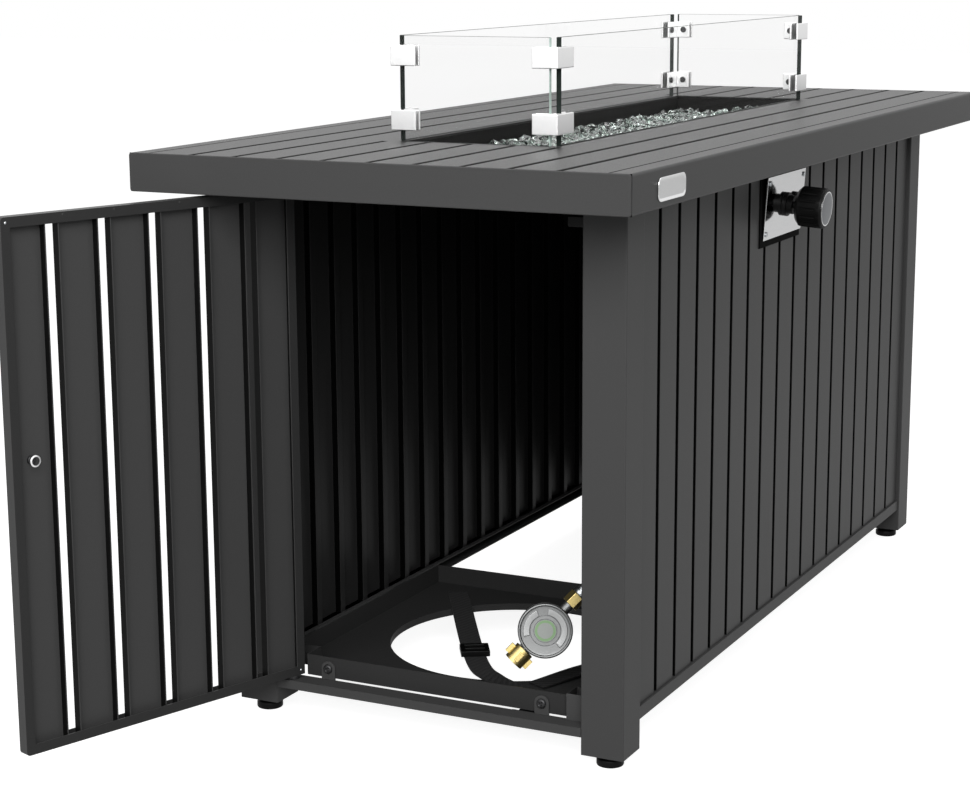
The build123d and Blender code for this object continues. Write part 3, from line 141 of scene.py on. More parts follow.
@dataclass(frozen=True)
class Finish:
    """Surface of one real material, with a fine grain in its colour, gloss and relief.

    Attributes:
        name: Common name of the material and how it was made.
        colour: Base colour.
        alternate: Colour that the grain drifts to.
        roughness: Lowest and highest roughness over the grain.
        metallic: 1 for a bare metal, 0 for paint, plastic, rubber or glass.
        grain_mm: Width of the relief's grain.
        relief_mm: Height of the relief.
        stretch: How much longer than wide the grain is, along each axis.
        sheen: Weight of the cloth sheen.
        coat: Weight of a clear top coat.
        specular: Level of the reflection, 0.5 for an ordinary paint or plastic.
        thread_mm: Spacing of a tape's threads, or 0 where nothing is woven.
        grain_span: Values of the grain that the lowest and the highest roughness lie at.
    """

    name: str
    colour: str
    alternate: str
    roughness: tuple[float, float]
    metallic: float = 0.0
    grain_mm: float = 1.0
    relief_mm: float = 0.0
    stretch: tuple[float, float, float] = (1.0, 1.0, 1.0)
    sheen: float = 0.0
    coat: float = 0.0
    specular: float = 0.5
    thread_mm: float = 0.0
    grain_span: tuple[float, float] = (0.3, 0.7)

    def material(self) -> bpy.types.Material:
        """Give the material, made on first use."""
        return bpy.data.materials.get(self.name) or self.make()

    def make(self) -> bpy.types.Material:
        """Make the node material.

        Returns:
            The new material.
        """
        material = bpy.data.materials.new(self.name)
        material.use_nodes = True
        tree = material.node_tree
        shader = tree.nodes["Principled BSDF"]
        constants = {"Metallic": self.metallic, "Sheen Weight": self.sheen, "Coat Weight": self.coat,
                     "Specular IOR Level": self.specular}
        for socket, value in constants.items():
            shader.inputs[socket].default_value = value
        place = add_node(tree, "TexCoord").outputs["Object"]
        pattern = self.pattern(tree, place)
        rough = add_node(tree, "MapRange", {
            "Value": pattern, "From Min": self.grain_span[0], "From Max": self.grain_span[1],
            "To Min": self.roughness[0], "To Max": self.roughness[1]})
        tree.links.new(rough.outputs["Result"], shader.inputs["Roughness"])
        if self.relief_mm:
            relief = add_node(tree, "Bump", {"Height": pattern, "Distance": self.relief_mm * MM, "Strength": 1.0})
            tree.links.new(relief.outputs["Normal"], shader.inputs["Normal"])
        tree.links.new(self.tint(tree, pattern, place), shader.inputs["Base Color"])
        return material

    def pattern(self, tree: Tree, place: Socket) -> Socket:
        """Draw the grain, or the weave on a ribbon's own UV map.

        Args:
            tree: The material's node tree.
            place: Object coordinates.

        Returns:
            Socket with a value from 0 to 1.
        """
        if self.thread_mm:
            run = add_node(tree, "UVMap", uv_map="weave")
            weave = add_node(tree, "TexWave", {
                "Vector": run.outputs["UV"], "Scale": per_metre(self.thread_mm) / math.tau, "Distortion": 1.5,
                "Detail": 1.0, "Detail Scale": 2.0}, wave_type="BANDS", bands_direction="DIAGONAL")
            return weave.outputs["Fac"]
        stretched = add_node(tree, "Mapping", {"Vector": place, "Scale": tuple(1 / part for part in self.stretch)})
        grain = add_node(tree, "TexNoise", {
            "Vector": stretched.outputs["Vector"], "Scale": per_metre(self.grain_mm), "Detail": 3.0, "Roughness": 0.6})
        return grain.outputs["Fac"]

    def tint(self, tree: Tree, pattern: Socket, place: Socket) -> Socket:
        """Mix the two colours over the pattern.

        Args:
            tree: The material's node tree.
            pattern: Value from 0 to 1.
            place: Object coordinates.

        Returns:
            Colour socket.
        """
        mix = add_node(tree, "Mix", {
            SHARE: pattern, FIRST: linear(self.colour), SECOND: linear(self.alternate)}, data_type="RGBA")
        return mix.outputs[MIXED]


@dataclass(frozen=True)
class GroovedCoat(Finish):
    """Powder coat over a folded sheet, with painted shade down in its grooves and on the sheet's back.

    Attributes:
        axis: Axis across the sheet.
        face: Distance of the sheet's outer face from the middle along that axis, in metres.
        depth: Depth of the grooves, in metres.
        lip: Width of the rounding that folding leaves on the outer face, in metres.
        face_blend: How far below the face the painted groove shade is whole, and where it starts, in metres.
        floor_blend: How far below the grooves' floor it has ended, and where it is still whole, in metres.
        back_turn: Share of the face's distance below which a face counts as the sheet's back.
        groove_shade_colour: Painted shade in the grooves, nearly black.
        back_shade_colour: Painted shade on the sheet's back, which faces into the table.
    """

    axis: Axis = Axis.Z
    face: float = 0.63
    depth: float = 8.0 * MM
    lip: float = 2.0 * MM
    face_blend: tuple[float, float] = (0.5 * MM, 0.15 * MM)
    floor_blend: tuple[float, float] = (0.8 * MM, 0.3 * MM)
    back_turn: float = -0.25
    groove_shade_colour: str = "#040404"
    back_shade_colour: str = "#292929"

    def tint(self, tree: Tree, pattern: Socket, place: Socket) -> Socket:
        """Paint shade on the coat below the sheet's face, and a lighter painted shade on the sheet's back.

        Args:
            tree: The material's node tree.
            pattern: Value from 0 to 1.
            place: Object coordinates.

        Returns:
            Colour socket.
        """
        coat = super().tint(tree, pattern, place)
        parts = add_node(tree, "SeparateXYZ", {"Vector": place})
        away = add_node(tree, "Math", {0: parts.outputs[self.axis.value]}, operation="ABSOLUTE").outputs[0]
        sunk = add_node(tree, "MapRange", {
            "Value": away, "From Min": self.face - self.face_blend[0], "From Max": self.face - self.face_blend[1],
            "To Min": 1.0, "To Max": 0.0})
        floor = self.face - self.depth
        above = add_node(tree, "MapRange", {
            "Value": away, "From Min": floor - self.floor_blend[0], "From Max": floor - self.floor_blend[1]})
        normal = add_node(tree, "NewGeometry")
        turned = add_node(tree, "VectorMath", {0: normal.outputs["Normal"], 1: place}, operation="MULTIPLY")
        outward = add_node(tree, "SeparateXYZ", {"Vector": turned.outputs["Vector"]})
        front = add_node(tree, "Math", {
            0: outward.outputs[self.axis.value], 1: self.back_turn * self.face}, operation="GREATER_THAN").outputs[0]
        band = add_node(tree, "Math", {0: sunk.outputs["Result"], 1: above.outputs["Result"]}, operation="MULTIPLY")
        shade = add_node(tree, "Math", {0: band.outputs[0], 1: front}, operation="MULTIPLY")
        # Painted shade: the sheet's back, facing into the table, is darker.
        sides = add_node(tree, "Mix", {
            SHARE: front, FIRST: linear(self.back_shade_colour), SECOND: coat}, data_type="RGBA")
        # Painted shade: the coat turns nearly black down in the grooves.
        mix = add_node(tree, "Mix", {
            SHARE: shade.outputs[0], FIRST: sides.outputs[MIXED], SECOND: linear(self.groove_shade_colour)},
            data_type="RGBA")
        return mix.outputs[MIXED]


@dataclass(frozen=True)
class ClearGlass(Finish):
    """Clear glass that takes on its tint over a long way through it.

    Attributes:
        ior: Index of refraction.
        tint_colour: Colour of light that has gone far through the glass.
        density: How fast the glass takes on that colour.
    """

    ior: float = 1.5
    tint_colour: str = "#bcd8cc"
    density: float = 8.0

    def make(self) -> bpy.types.Material:
        """Make the node material.

        Returns:
            The new material.
        """
        material = super().make()
        tree = material.node_tree
        shader = tree.nodes["Principled BSDF"]
        shader.inputs["Transmission Weight"].default_value = 1.0
        shader.inputs["IOR"].default_value = self.ior
        inside = add_node(tree, "VolumeAbsorption", {"Color": linear(self.tint_colour), "Density": self.density})
        tree.links.new(inside.outputs["Volume"], tree.nodes["Material Output"].inputs["Volume"])
        return material


@dataclass(frozen=True)
class PaneGlass(Finish):
    """Thin sheet of clear glass: it lets light straight through and mirrors more of it the flatter it is seen.

    Attributes:
        mirrored: Share that a face mirrors, seen straight on.
        skimmed: Share that it mirrors besides, seen along the sheet.
        steepness: Power by which that share grows towards a flat angle, 5 as in Schlick's rule.
    """

    mirrored: float = 0.005
    skimmed: float = 0.2
    steepness: float = 5.0

    def make(self) -> bpy.types.Material:
        """Make the node material.

        Returns:
            The new material.
        """
        material = bpy.data.materials.new(self.name)
        material.use_nodes = True
        tree = material.node_tree
        tree.nodes.remove(tree.nodes["Principled BSDF"])
        slant = add_node(tree, "LayerWeight", {"Blend": 0.5})
        steep = add_node(tree, "Math", {0: slant.outputs["Facing"], 1: self.steepness}, operation="POWER")
        share = add_node(
            tree, "Math", {0: steep.outputs[0], 1: self.skimmed, 2: self.mirrored}, operation="MULTIPLY_ADD")
        clear = add_node(tree, "BsdfTransparent", {"Color": linear(self.colour)})
        mirror = add_node(tree, "BsdfGlossy", {"Color": linear(self.alternate), "Roughness": self.roughness[0]})
        both = add_node(tree, "MixShader", {0: share.outputs[0], 1: clear.outputs[0], 2: mirror.outputs[0]})
        tree.links.new(both.outputs[0], tree.nodes["Material Output"].inputs["Surface"])
        return material


@dataclass(frozen=True)
class RingedPrint(Finish):
    """Plain paper disc with one printed ring.

    Attributes:
        centre: Middle of the disc, in metres.
        ring: Inner and outer radius of the ring, in metres.
        ring_colour: Colour of the ring.
    """

    centre: tuple[float, float, float] = (0.0, 0.0, 0.0)
    ring: tuple[float, float] = (8.6 * MM, 11.4 * MM)
    ring_colour: str = "#74936a"

    def tint(self, tree: Tree, pattern: Socket, place: Socket) -> Socket:
        """Print the ring on the paper.

        Args:
            tree: The material's node tree.
            pattern: Value from 0 to 1.
            place: Object coordinates.

        Returns:
            Colour socket.
        """
        paper = super().tint(tree, pattern, place)
        away = add_node(tree, "VectorMath", {0: place, 1: self.centre}, operation="DISTANCE").outputs["Value"]
        inside = add_node(tree, "Math", {0: away, 1: self.ring[0]}, operation="GREATER_THAN")
        outside = add_node(tree, "Math", {0: away, 1: self.ring[1]}, operation="LESS_THAN")
        band = add_node(tree, "Math", {0: inside.outputs[0], 1: outside.outputs[0]}, operation="MULTIPLY")
        mix = add_node(tree, "Mix", {
            SHARE: band.outputs[0], FIRST: paper, SECOND: linear(self.ring_colour)}, data_type="RGBA")
        return mix.outputs[MIXED]


# Polyester powder coat, sprayed and baked: satin, with a faint orange peel that breaks up its reflections.
POWDER_COAT = Finish(
    "powder_coat_satin_black", "#3d3d3d", "#434343", (0.33, 0.41), grain_mm=1.6, relief_mm=0.006, specular=0.08)
# The same coat on the grooved sheets, each with a name of its own, with painted shade: nearly black down in the
# grooves, and darker on the sheet's back.
GROOVED_COAT = GroovedCoat(**vars(POWDER_COAT))
# The same coat painted darker and duller as shade, for the tray inside the table and the door frame's inward faces.
SHADED_COAT = replace(
    POWDER_COAT, name="powder_coat_painted_shade", colour="#2a2a2a", alternate="#323232", roughness=(0.40, 0.52))
# The same coat on the slats' folds, painted nearly black as shade.
FOLD_SHADE_COAT = replace(
    POWDER_COAT, name="powder_coat_painted_fold_shade", colour="#0d0d0d", alternate="#131313", roughness=(0.5, 0.62),
    specular=0.05)
# Heat-resistant stove paint, sprayed: matt and a little gritty.
STOVE_PAINT = Finish(
    "stove_paint_matt", "#090909", "#121110", (0.50, 0.65), grain_mm=0.9, relief_mm=0.02, specular=0.08)
# Toughened float glass: clear through its thickness, with a clean mirror image at a flat angle.
FLOAT_GLASS = PaneGlass("float_glass_toughened", "#fdfdfd", "#ffffff", (0.02, 0.02))
# Its ground and polished edges: the glass's own green tint, painted deep grey-green as shade where the eye looks along
# the sheet.
GLASS_EDGE = Finish(
    "float_glass_ground_edge", "#161b19", "#232b28", (0.35, 0.5), grain_mm=2.5, relief_mm=0.01, specular=0.12)
# Painted highlight: the end panes' upright edges on the control side are painted pale green, as where they catch the
# light.
GLASS_EDGE_PAINTED_HIGHLIGHT = Finish("float_glass_ground_edge_painted_highlight", "#b8cfc6", "#cfe0d9", (0.2, 0.3), grain_mm=2.5, relief_mm=0.01)
# Tumbled fire glass, broken from a sheet: clear chips with dull, slightly frosted faces.
FIRE_GLASS = ClearGlass(
    "fire_glass_tumbled", "#dfe8e3", "#f4f8f6", (0.03, 0.12), grain_mm=6.0, relief_mm=0.15, tint_colour="#8aa296",
    density=30.0)
# Stainless steel, buffed bright: mirror-like, with the drift of the buffing wheel in its gloss.
BRIGHT_STEEL = Finish(
    "stainless_steel_polished", "#d9dadb", "#e6e6e6", (0.05, 0.11), 1.0, grain_mm=2.0, stretch=(8.0, 8.0, 1.0))
# Stainless steel, satin polished: bright and soft, without a clear mirror image.
SATIN_STEEL = Finish("stainless_steel_satin", "#f0f0f0", "#f6f6f6", (0.38, 0.42), 1.0, grain_mm=3.0)
# Zinc-plated steel, rolled or turned: pale grey and half bright.
ZINC_STEEL = Finish("zinc_plated_steel", "#aeb2b6", "#c2c4c5", (0.26, 0.38), 1.0, grain_mm=1.2)
# Phosphated screws: black with a dull metal gleam.
BLACK_SCREW = Finish("phosphated_screw", "#2b2b2c", "#3a3a3b", (0.35, 0.5), 0.6, grain_mm=0.8, relief_mm=0.01)
# Machined brass: yellow and half bright, with a fine grain of tool marks.
BRASS = Finish("brass_machined", "#b8a468", "#c8b67e", (0.34, 0.46), 1.0, grain_mm=0.8, relief_mm=0.004)
# Die-cast zinc, shot-blasted: mid grey with a fine even grain.
DIE_CAST = Finish("zinc_die_cast", "#707171", "#828383", (0.40, 0.54), 1.0, grain_mm=0.7, relief_mm=0.02)
# The same casting where it was ground flat: brighter and smoother.
GROUND_CAST = Finish("zinc_die_cast_ground", "#8a8b8b", "#9a9b9b", (0.34, 0.44), 1.0, grain_mm=0.7)
# ABS moulding with a fine spark-eroded texture: deep black, half matt.
BLACK_ABS = Finish(
    "abs_moulded_black", "#040404", "#080808", (0.38, 0.50), grain_mm=0.6, relief_mm=0.012, specular=0.12)
# Spun aluminium, anodised grey: soft, half bright and without a clear mirror image.
SPUN_ALUMINIUM = Finish("aluminium_spun_grey", "#6d6f72", "#7c7e81", (0.3, 0.42), 1.0, grain_mm=0.8)
# Extruded nitrile rubber: matt black with a faint grain.
HOSE_RUBBER = Finish("nitrile_rubber_extruded", "#161617", "#1f1f20", (0.5, 0.65), grain_mm=1.5, relief_mm=0.02)
# Moulded rubber, dead black and matt, as painted shade: in strips along the top's seams, and on the control pad beside
# and below the plate.
SHADE_BLACK_RUBBER = Finish(
    "rubber_black_painted_shade", "#030303", "#070707", (0.75, 0.9), grain_mm=1.2, relief_mm=0.02, specular=0.04)
# Woven polypropylene tape: dull black with a herringbone of small ribs, drawn about twice as coarse as real to show.
STRAP_WEBBING = Finish(
    "polypropylene_webbing", "#050505", "#101011", (0.6, 0.8), relief_mm=0.12, sheen=0.05, specular=0.2,
    thread_mm=2.4)
# Steatite ceramic, glazed: off-white and shiny.
CERAMIC = Finish("steatite_glazed", "#d8d4c8", "#e3dfd3", (0.12, 0.2), grain_mm=1.5, coat=0.4)
# Nickel-plated pressing: bright, with a nearly clear mirror image.
NICKEL = Finish("nickel_plated_pressing", "#dcdddd", "#e8e8e8", (0.1, 0.2), 1.0, grain_mm=3.0)
# Coated paper, printed: pale grey-green and half matt.
PRINTED_PAPER = RingedPrint("paper_disc_printed", "#858985", "#939793", (0.45, 0.55), grain_mm=1.0)


# Meshes

def add_object(name: str, data: bpy.types.ID) -> Piece:
    """Put an object with its data into the scene.

    Args:
        name: Name of the object.
        data: Its mesh, curve, lamp or camera.

    Returns:
        The object.
    """
    thing = bpy.data.objects.new(name, data)
    bpy.context.scene.collection.objects.link(thing)
    return thing


def finish_piece(bm: Mesh, name: str, finish: Finish, body: str, nodes: Sequence[str] = (),
                 sharp: float = SHARP_ANGLE) -> Piece:
    """Turn a mesh in the making into a piece of the object.

    Args:
        bm: Mesh, in place, with its faces pointing outwards. It is freed.
        name: Name of the piece.
        finish: Its finish.
        body: CAD body that it moves with.
        nodes: CAD nodes that it stands for.
        sharp: Angle from which an edge stays sharp, in radians.

    Returns:
        The piece.
    """
    for face in bm.faces:
        face.smooth = True
    for edge in bm.edges:
        edge.smooth = len(edge.link_faces) == 2 and edge.calc_face_angle(0.0) < sharp
    mesh = bpy.data.meshes.new(name)
    bm.to_mesh(mesh)
    bm.free()
    mesh.materials.append(finish.material())
    piece = add_object(name, mesh)
    flats = piece.modifiers.new("flat_faces_shade_flat", "WEIGHTED_NORMAL")
    flats.keep_sharp = True
    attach(piece, body)
    for node in nodes:
        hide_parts(node)
    LOG.info("%s: %d faces on %s", name, len(mesh.polygons), body)
    return piece


def body_of(node: str) -> str:
    """Name of the CAD body that a node belongs to."""
    return frame["nodes"][node]["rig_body"]


def stand_in(bm: Mesh, node: str, ending: str, finish: Finish, sharp: float = SHARP_ANGLE) -> Piece:
    """Turn a mesh in the making into the piece that stands for a CAD node, named for it with an ending."""
    return finish_piece(bm, f"{node}_{ending}", finish, body_of(node), [node], sharp)


def reach(node: str, direction: Vector) -> float:
    """How far a CAD node goes along a direction, in metres from the origin."""
    return max(vert.co.dot(direction) for vert in frame["nodes"][node].data.vertices)


def bevel(bm: Mesh, edges: list[bmesh.types.BMEdge], width: float, segments: int) -> None:
    """Round some edges of a mesh to a width in metres, in so many steps across."""
    bmesh.ops.bevel(bm, geom=edges, offset=width, offset_type="OFFSET", affect="EDGES", segments=segments,
                    profile=0.5, material=-1, clamp_overlap=True)


def ease(bm: Mesh, width: float, segments: int = 2, limit: float = EASED_ANGLE) -> None:
    """Round every edge whose faces meet at more than a limit, in radians."""
    bevel(bm, [edge for edge in bm.edges if len(edge.link_faces) == 2 and edge.calc_face_angle(0.0) > limit],
          width, segments)


def eased_copy(node: str, finish: Finish, width: float) -> Piece:
    """Stand a merged copy with softened edges in for a CAD node, and with wider lips on a grooved sheet's face.

    Args:
        node: CAD node.
        finish: Its finish.
        width: Width of the softened edges, in metres.

    Returns:
        The piece.
    """
    bm = bmesh.new()
    bm.from_mesh(frame["nodes"][node].data)
    bmesh.ops.remove_doubles(bm, verts=bm.verts, dist=MERGE)
    bmesh.ops.dissolve_limit(bm, angle_limit=COPLANAR, verts=bm.verts, edges=bm.edges)
    if isinstance(finish, GroovedCoat):
        lips = [edge for edge in bm.edges
                if all(abs(abs(vert.co[finish.axis.value]) - finish.face) < MERGE for vert in edge.verts)
                and edge.calc_face_angle(0.0) > LIP_ANGLE]
        bevel(bm, lips, finish.lip, segments=5)
    ease(bm, width)
    return stand_in(bm, node, "finished", finish)


def recoat(node: str, finish: Finish, chosen: Callable[[Vector], bool]) -> None:
    """Give some faces of a softened copy another finish.

    Args:
        node: CAD node that the copy stands for.
        finish: The other finish.
        chosen: Test of a face's normal.
    """
    mesh = bpy.data.objects[node + "_finished"].data
    mesh.materials.append(finish.material())
    for face in mesh.polygons:
        if chosen(face.normal):
            face.material_index = len(mesh.materials) - 1


def dress(node: str, finish: Finish) -> None:
    """Give a CAD node that keeps its shape its finish.

    Args:
        node: CAD node.
        finish: Its finish.
    """
    mesh = frame["nodes"][node].data
    mesh.materials.clear()
    mesh.materials.append(finish.material())
    LOG.info("%s: dressed as %s", node, finish.name)


def lathe(profile: Profile, place: Matrix, steps: int = 48) -> Mesh:
    """Turn a profile round its axis.

    Args:
        profile: Radius and height of each point in millimetres, from the axis to the axis, or round a ring's
            section and back to its first point.
        place: Where the axis goes, as a matrix whose Z is the axis.
        steps: Steps round the axis.

    Returns:
        The closed mesh.
    """
    bm = bmesh.new()
    points = [bm.verts.new((radius * MM, 0.0, height * MM)) for radius, height in profile]
    edges = [bm.edges.new(pair) for pair in zip(points, points[1:])]
    bmesh.ops.spin(bm, geom=points + edges, cent=(0, 0, 0), axis=(0, 0, 1), angle=math.tau, steps=steps,
                   use_merge=True)
    bmesh.ops.remove_doubles(bm, verts=bm.verts, dist=MERGE)
    bmesh.ops.recalc_face_normals(bm, faces=bm.faces)
    bmesh.ops.transform(bm, matrix=place, verts=bm.verts)
    return bm


def axis_place(origin: Vector, axis: Vector, across: Vector) -> Matrix:
    """Place whose Z runs along an axis and whose X lies along a direction square to it.

    Args:
        origin: Origin of the place.
        axis: Direction of its Z.
        across: Direction of its X.

    Returns:
        The place.
    """
    z = axis.normalized()
    x = (across - across.dot(z) * z).normalized()
    return Matrix.Translation(origin) @ Matrix((x, z.cross(x), z)).transposed().to_4x4()


def join(parts: Sequence[Mesh]) -> Mesh:
    """Put several meshes into the first one.

    Args:
        parts: Meshes. All but the first are freed.

    Returns:
        The first mesh.
    """
    whole = parts[0]
    for part in parts[1:]:
        mesh = bpy.data.meshes.new("part")
        part.to_mesh(mesh)
        part.free()
        whole.from_mesh(mesh)
        bpy.data.meshes.remove(mesh)
    return whole


@dataclass(frozen=True)
class CrossScrew:
    """Pan-head screw with a cross recess, in shares of its head's radius and height.

    Attributes:
        flat: Radius of the head's flat top.
        arm: Half the width of the recess's arms.
        span: Length of the arms from the middle.
        sunk: Depth of the recess.
        taper: Size of the recess's floor against its mouth.
        rings: Radius and height of each ring down the head's side.
    """

    flat: float = 0.72
    arm: float = 0.16
    span: float = 0.56
    sunk: float = 0.55
    taper: float = 0.6
    rings: tuple[tuple[float, float], ...] = ((0.93, 0.66), (1.0, 0.3), (1.0, 0.0))

    def head(self, radius: float, height: float, place: Matrix) -> Mesh:
        """Make a head.

        Args:
            radius: Radius of the head, in metres.
            height: Height of the head, in metres.
            place: Place of the head's seat, with Z out of it.

        Returns:
            The head.
        """
        bm = bmesh.new()
        rim = bmesh.ops.create_circle(bm, segments=24, radius=self.flat * radius, cap_ends=False)["verts"]
        bmesh.ops.translate(bm, verts=rim, vec=(0, 0, height))
        ring = list({edge for vert in rim for edge in vert.link_edges})
        arm, span = self.arm * radius, self.span * radius
        corners = [(span, -arm), (span, arm), (arm, arm), (arm, span), (-arm, span), (-arm, arm),
                   (-span, arm), (-span, -arm), (-arm, -arm), (-arm, -span), (arm, -span), (arm, -arm)]
        cross = bm.faces.new([bm.verts.new((x, y, height)) for x, y in corners])
        bmesh.ops.bridge_loops(bm, edges=ring + list(cross.edges))
        for face in bmesh.ops.extrude_discrete_faces(bm, faces=[cross])["faces"]:
            bmesh.ops.translate(bm, verts=face.verts, vec=(0, 0, -self.sunk * height))
            bmesh.ops.scale(bm, verts=face.verts, vec=(self.taper, self.taper, 1.0))
        for ring_radius, ring_height in self.rings:
            grown = bmesh.ops.extrude_edge_only(bm, edges=ring)["geom"]
            verts = [item for item in grown if isinstance(item, bmesh.types.BMVert)]
            ring = [item for item in grown if isinstance(item, bmesh.types.BMEdge)]
            wider = ring_radius * radius / math.hypot(verts[0].co.x, verts[0].co.y)
            bmesh.ops.scale(bm, verts=verts, vec=(wider, wider, 1.0))
            for vert in verts:
                vert.co.z = ring_height * height
        bmesh.ops.holes_fill(bm, edges=ring, sides=0)
        bmesh.ops.recalc_face_normals(bm, faces=bm.faces)
        bmesh.ops.transform(bm, matrix=place, verts=bm.verts)
        return bm


# The studio

@dataclass(frozen=True)
class Lamp:
    """One large soft lamp.

    Attributes:
        name: Its name.
        position: Where it hangs, in metres.
        size: Width and height, in metres.
        power: Power in watts.
    """

    name: str
    position: tuple[float, float, float]
    size: tuple[float, float]
    power: float


@dataclass
class Studio:
    """White room with large soft lamps and the camera of the reference picture."""

    camera_at: tuple[float, float, float] = (-2.486518, -1.052301, 0.832444)
    azimuth: float = -63.493
    elevation: float = 11.783
    roll: float = -0.313
    lens_mm: float = 80.909
    sensor_mm: float = 36.0
    farthest: float = 100.0
    aim: tuple[float, float, float] = (0.0, 0.0, 0.35)
    lamp_side: tuple[float, float, float] = (0.3, 1.0, 0.0)
    white: str = "#ffffff"
    ambient: float = 0.3
    floor_colour: str = "#a8a8a8"
    floor_glow: float = 0.9
    floor_mirrored: float = 0.45
    floor_size: float = 30.0
    lamps: tuple[Lamp, ...] = (
        Lamp("key_lamp", (-3.2, -1.6, 2.2), (2.2, 2.2), 120.0),
        Lamp("end_lamp", (-3.4, 0.6, 2.2), (2.4, 2.4), 45.0),
        Lamp("front_lamp", (0.4, -3.6, 2.0), (2.6, 1.8), 8.0),
        Lamp("top_lamp", (0.8, 0.6, 3.4), (3.0, 2.0), 45.0),
    )

    def build(self) -> None:
        """Set up the camera, world, lamps and floor."""
        bpy.context.scene.view_settings.view_transform = "Standard"
        self.place_camera()
        self.light_world()
        for lamp in self.lamps:
            self.hang(lamp)
        self.lay_floor()

    def place_camera(self) -> None:
        """Put the camera where the reference picture was taken from."""
        turns = ((self.azimuth, "Z"), (90.0 - self.elevation, "X"), (self.roll, "Z"))
        pan, tilt, roll = (Matrix.Rotation(math.radians(angle), 4, axis) for angle, axis in turns)
        data = bpy.data.cameras.new("camera")
        data.lens = self.lens_mm
        data.sensor_width = self.sensor_mm
        data.sensor_fit = "HORIZONTAL"
        data.clip_end = self.farthest
        camera = add_object("camera", data)
        camera.matrix_world = Matrix.Translation(self.camera_at) @ pan @ tilt @ roll
        bpy.context.scene.camera = camera

    def ray_level(self, tree: Tree, seen: float, mirrored: float, other: float) -> Socket:
        """Add a brightness that depends on how a ray came to the surface.

        Args:
            tree: Node tree that gets the nodes.
            seen: Level to the eye and through glass.
            mirrored: Level in a reflection.
            other: Level of the light that it gives.

        Returns:
            Socket with the level.
        """
        path = add_node(tree, "LightPath")
        eye = add_node(tree, "Math", {
            0: path.outputs["Is Camera Ray"], 1: path.outputs["Is Transmission Ray"]}, operation="MAXIMUM")
        plain = add_node(tree, "MapRange", {"Value": eye.outputs[0], "To Min": other, "To Max": seen})
        level = add_node(tree, "Mix", {
            0: path.outputs["Is Glossy Ray"], 2: plain.outputs["Result"], 3: mirrored}, data_type="FLOAT")
        return level.outputs[0]

    def light_world(self) -> None:
        """White room as seen, with a plainer level of light from it."""
        world = bpy.data.worlds.new("white_room")
        bpy.context.scene.world = world
        world.use_nodes = True
        tree = world.node_tree
        background = tree.nodes["Background"]
        background.inputs["Color"].default_value = linear(self.white)
        tree.links.new(self.ray_level(tree, 1.0, 1.0, self.ambient), background.inputs["Strength"])

    def hang(self, lamp: Lamp) -> None:
        """Hang one lamp and aim it at the table.

        Args:
            lamp: The lamp.
        """
        data = bpy.data.lights.new(lamp.name, "AREA")
        data.shape = "RECTANGLE"
        data.size, data.size_y = lamp.size
        data.energy = lamp.power
        light = add_object(lamp.name, data)
        position = Vector(lamp.position)
        light.matrix_world = axis_place(position, position - Vector(self.aim), Vector(self.lamp_side))
        light.visible_camera = False

    def lay_floor(self) -> None:
        """Lay a pale floor that shows white to the eye and keeps a soft shadow."""
        material = bpy.data.materials.new("studio_floor")
        material.use_nodes = True
        tree = material.node_tree
        paint = tree.nodes["Principled BSDF"]
        constants = {"Base Color": linear(self.floor_colour), "Roughness": 1.0, "Specular IOR Level": 0.0,
                     "Emission Color": linear(self.white)}
        for socket, value in constants.items():
            paint.inputs[socket].default_value = value
        glow = self.ray_level(tree, self.floor_glow, self.floor_mirrored, 0.0)
        tree.links.new(glow, paint.inputs["Emission Strength"])
        bm = bmesh.new()
        bmesh.ops.create_grid(bm, x_segments=1, y_segments=1, size=self.floor_size / 2)
        mesh = bpy.data.meshes.new("studio_floor")
        bm.to_mesh(mesh)
        bm.free()
        mesh.materials.append(material)
        add_object("studio_floor", mesh)


# The object's sub-assemblies

Eased = tuple[tuple[str, Finish, float], ...]
Dressed = tuple[tuple[str, Finish], ...]


@dataclass
class Assembly:
    """Sub-assembly of softened CAD copies, plain CAD pieces and what its own methods build.

    Attributes:
        eased_mm: CAD nodes that get softened edges, each with its finish and the edges' width.
        dressed: CAD nodes that keep their shape, each with its finish.
    """

    eased_mm: Eased = ()
    dressed: Dressed = ()

    def build(self) -> None:
        """Build the pieces that come straight from CAD nodes."""
        for node, finish, width in self.eased_mm:
            eased_copy(node, finish, width * MM)
        for node, finish in self.dressed:
            dress(node, finish)


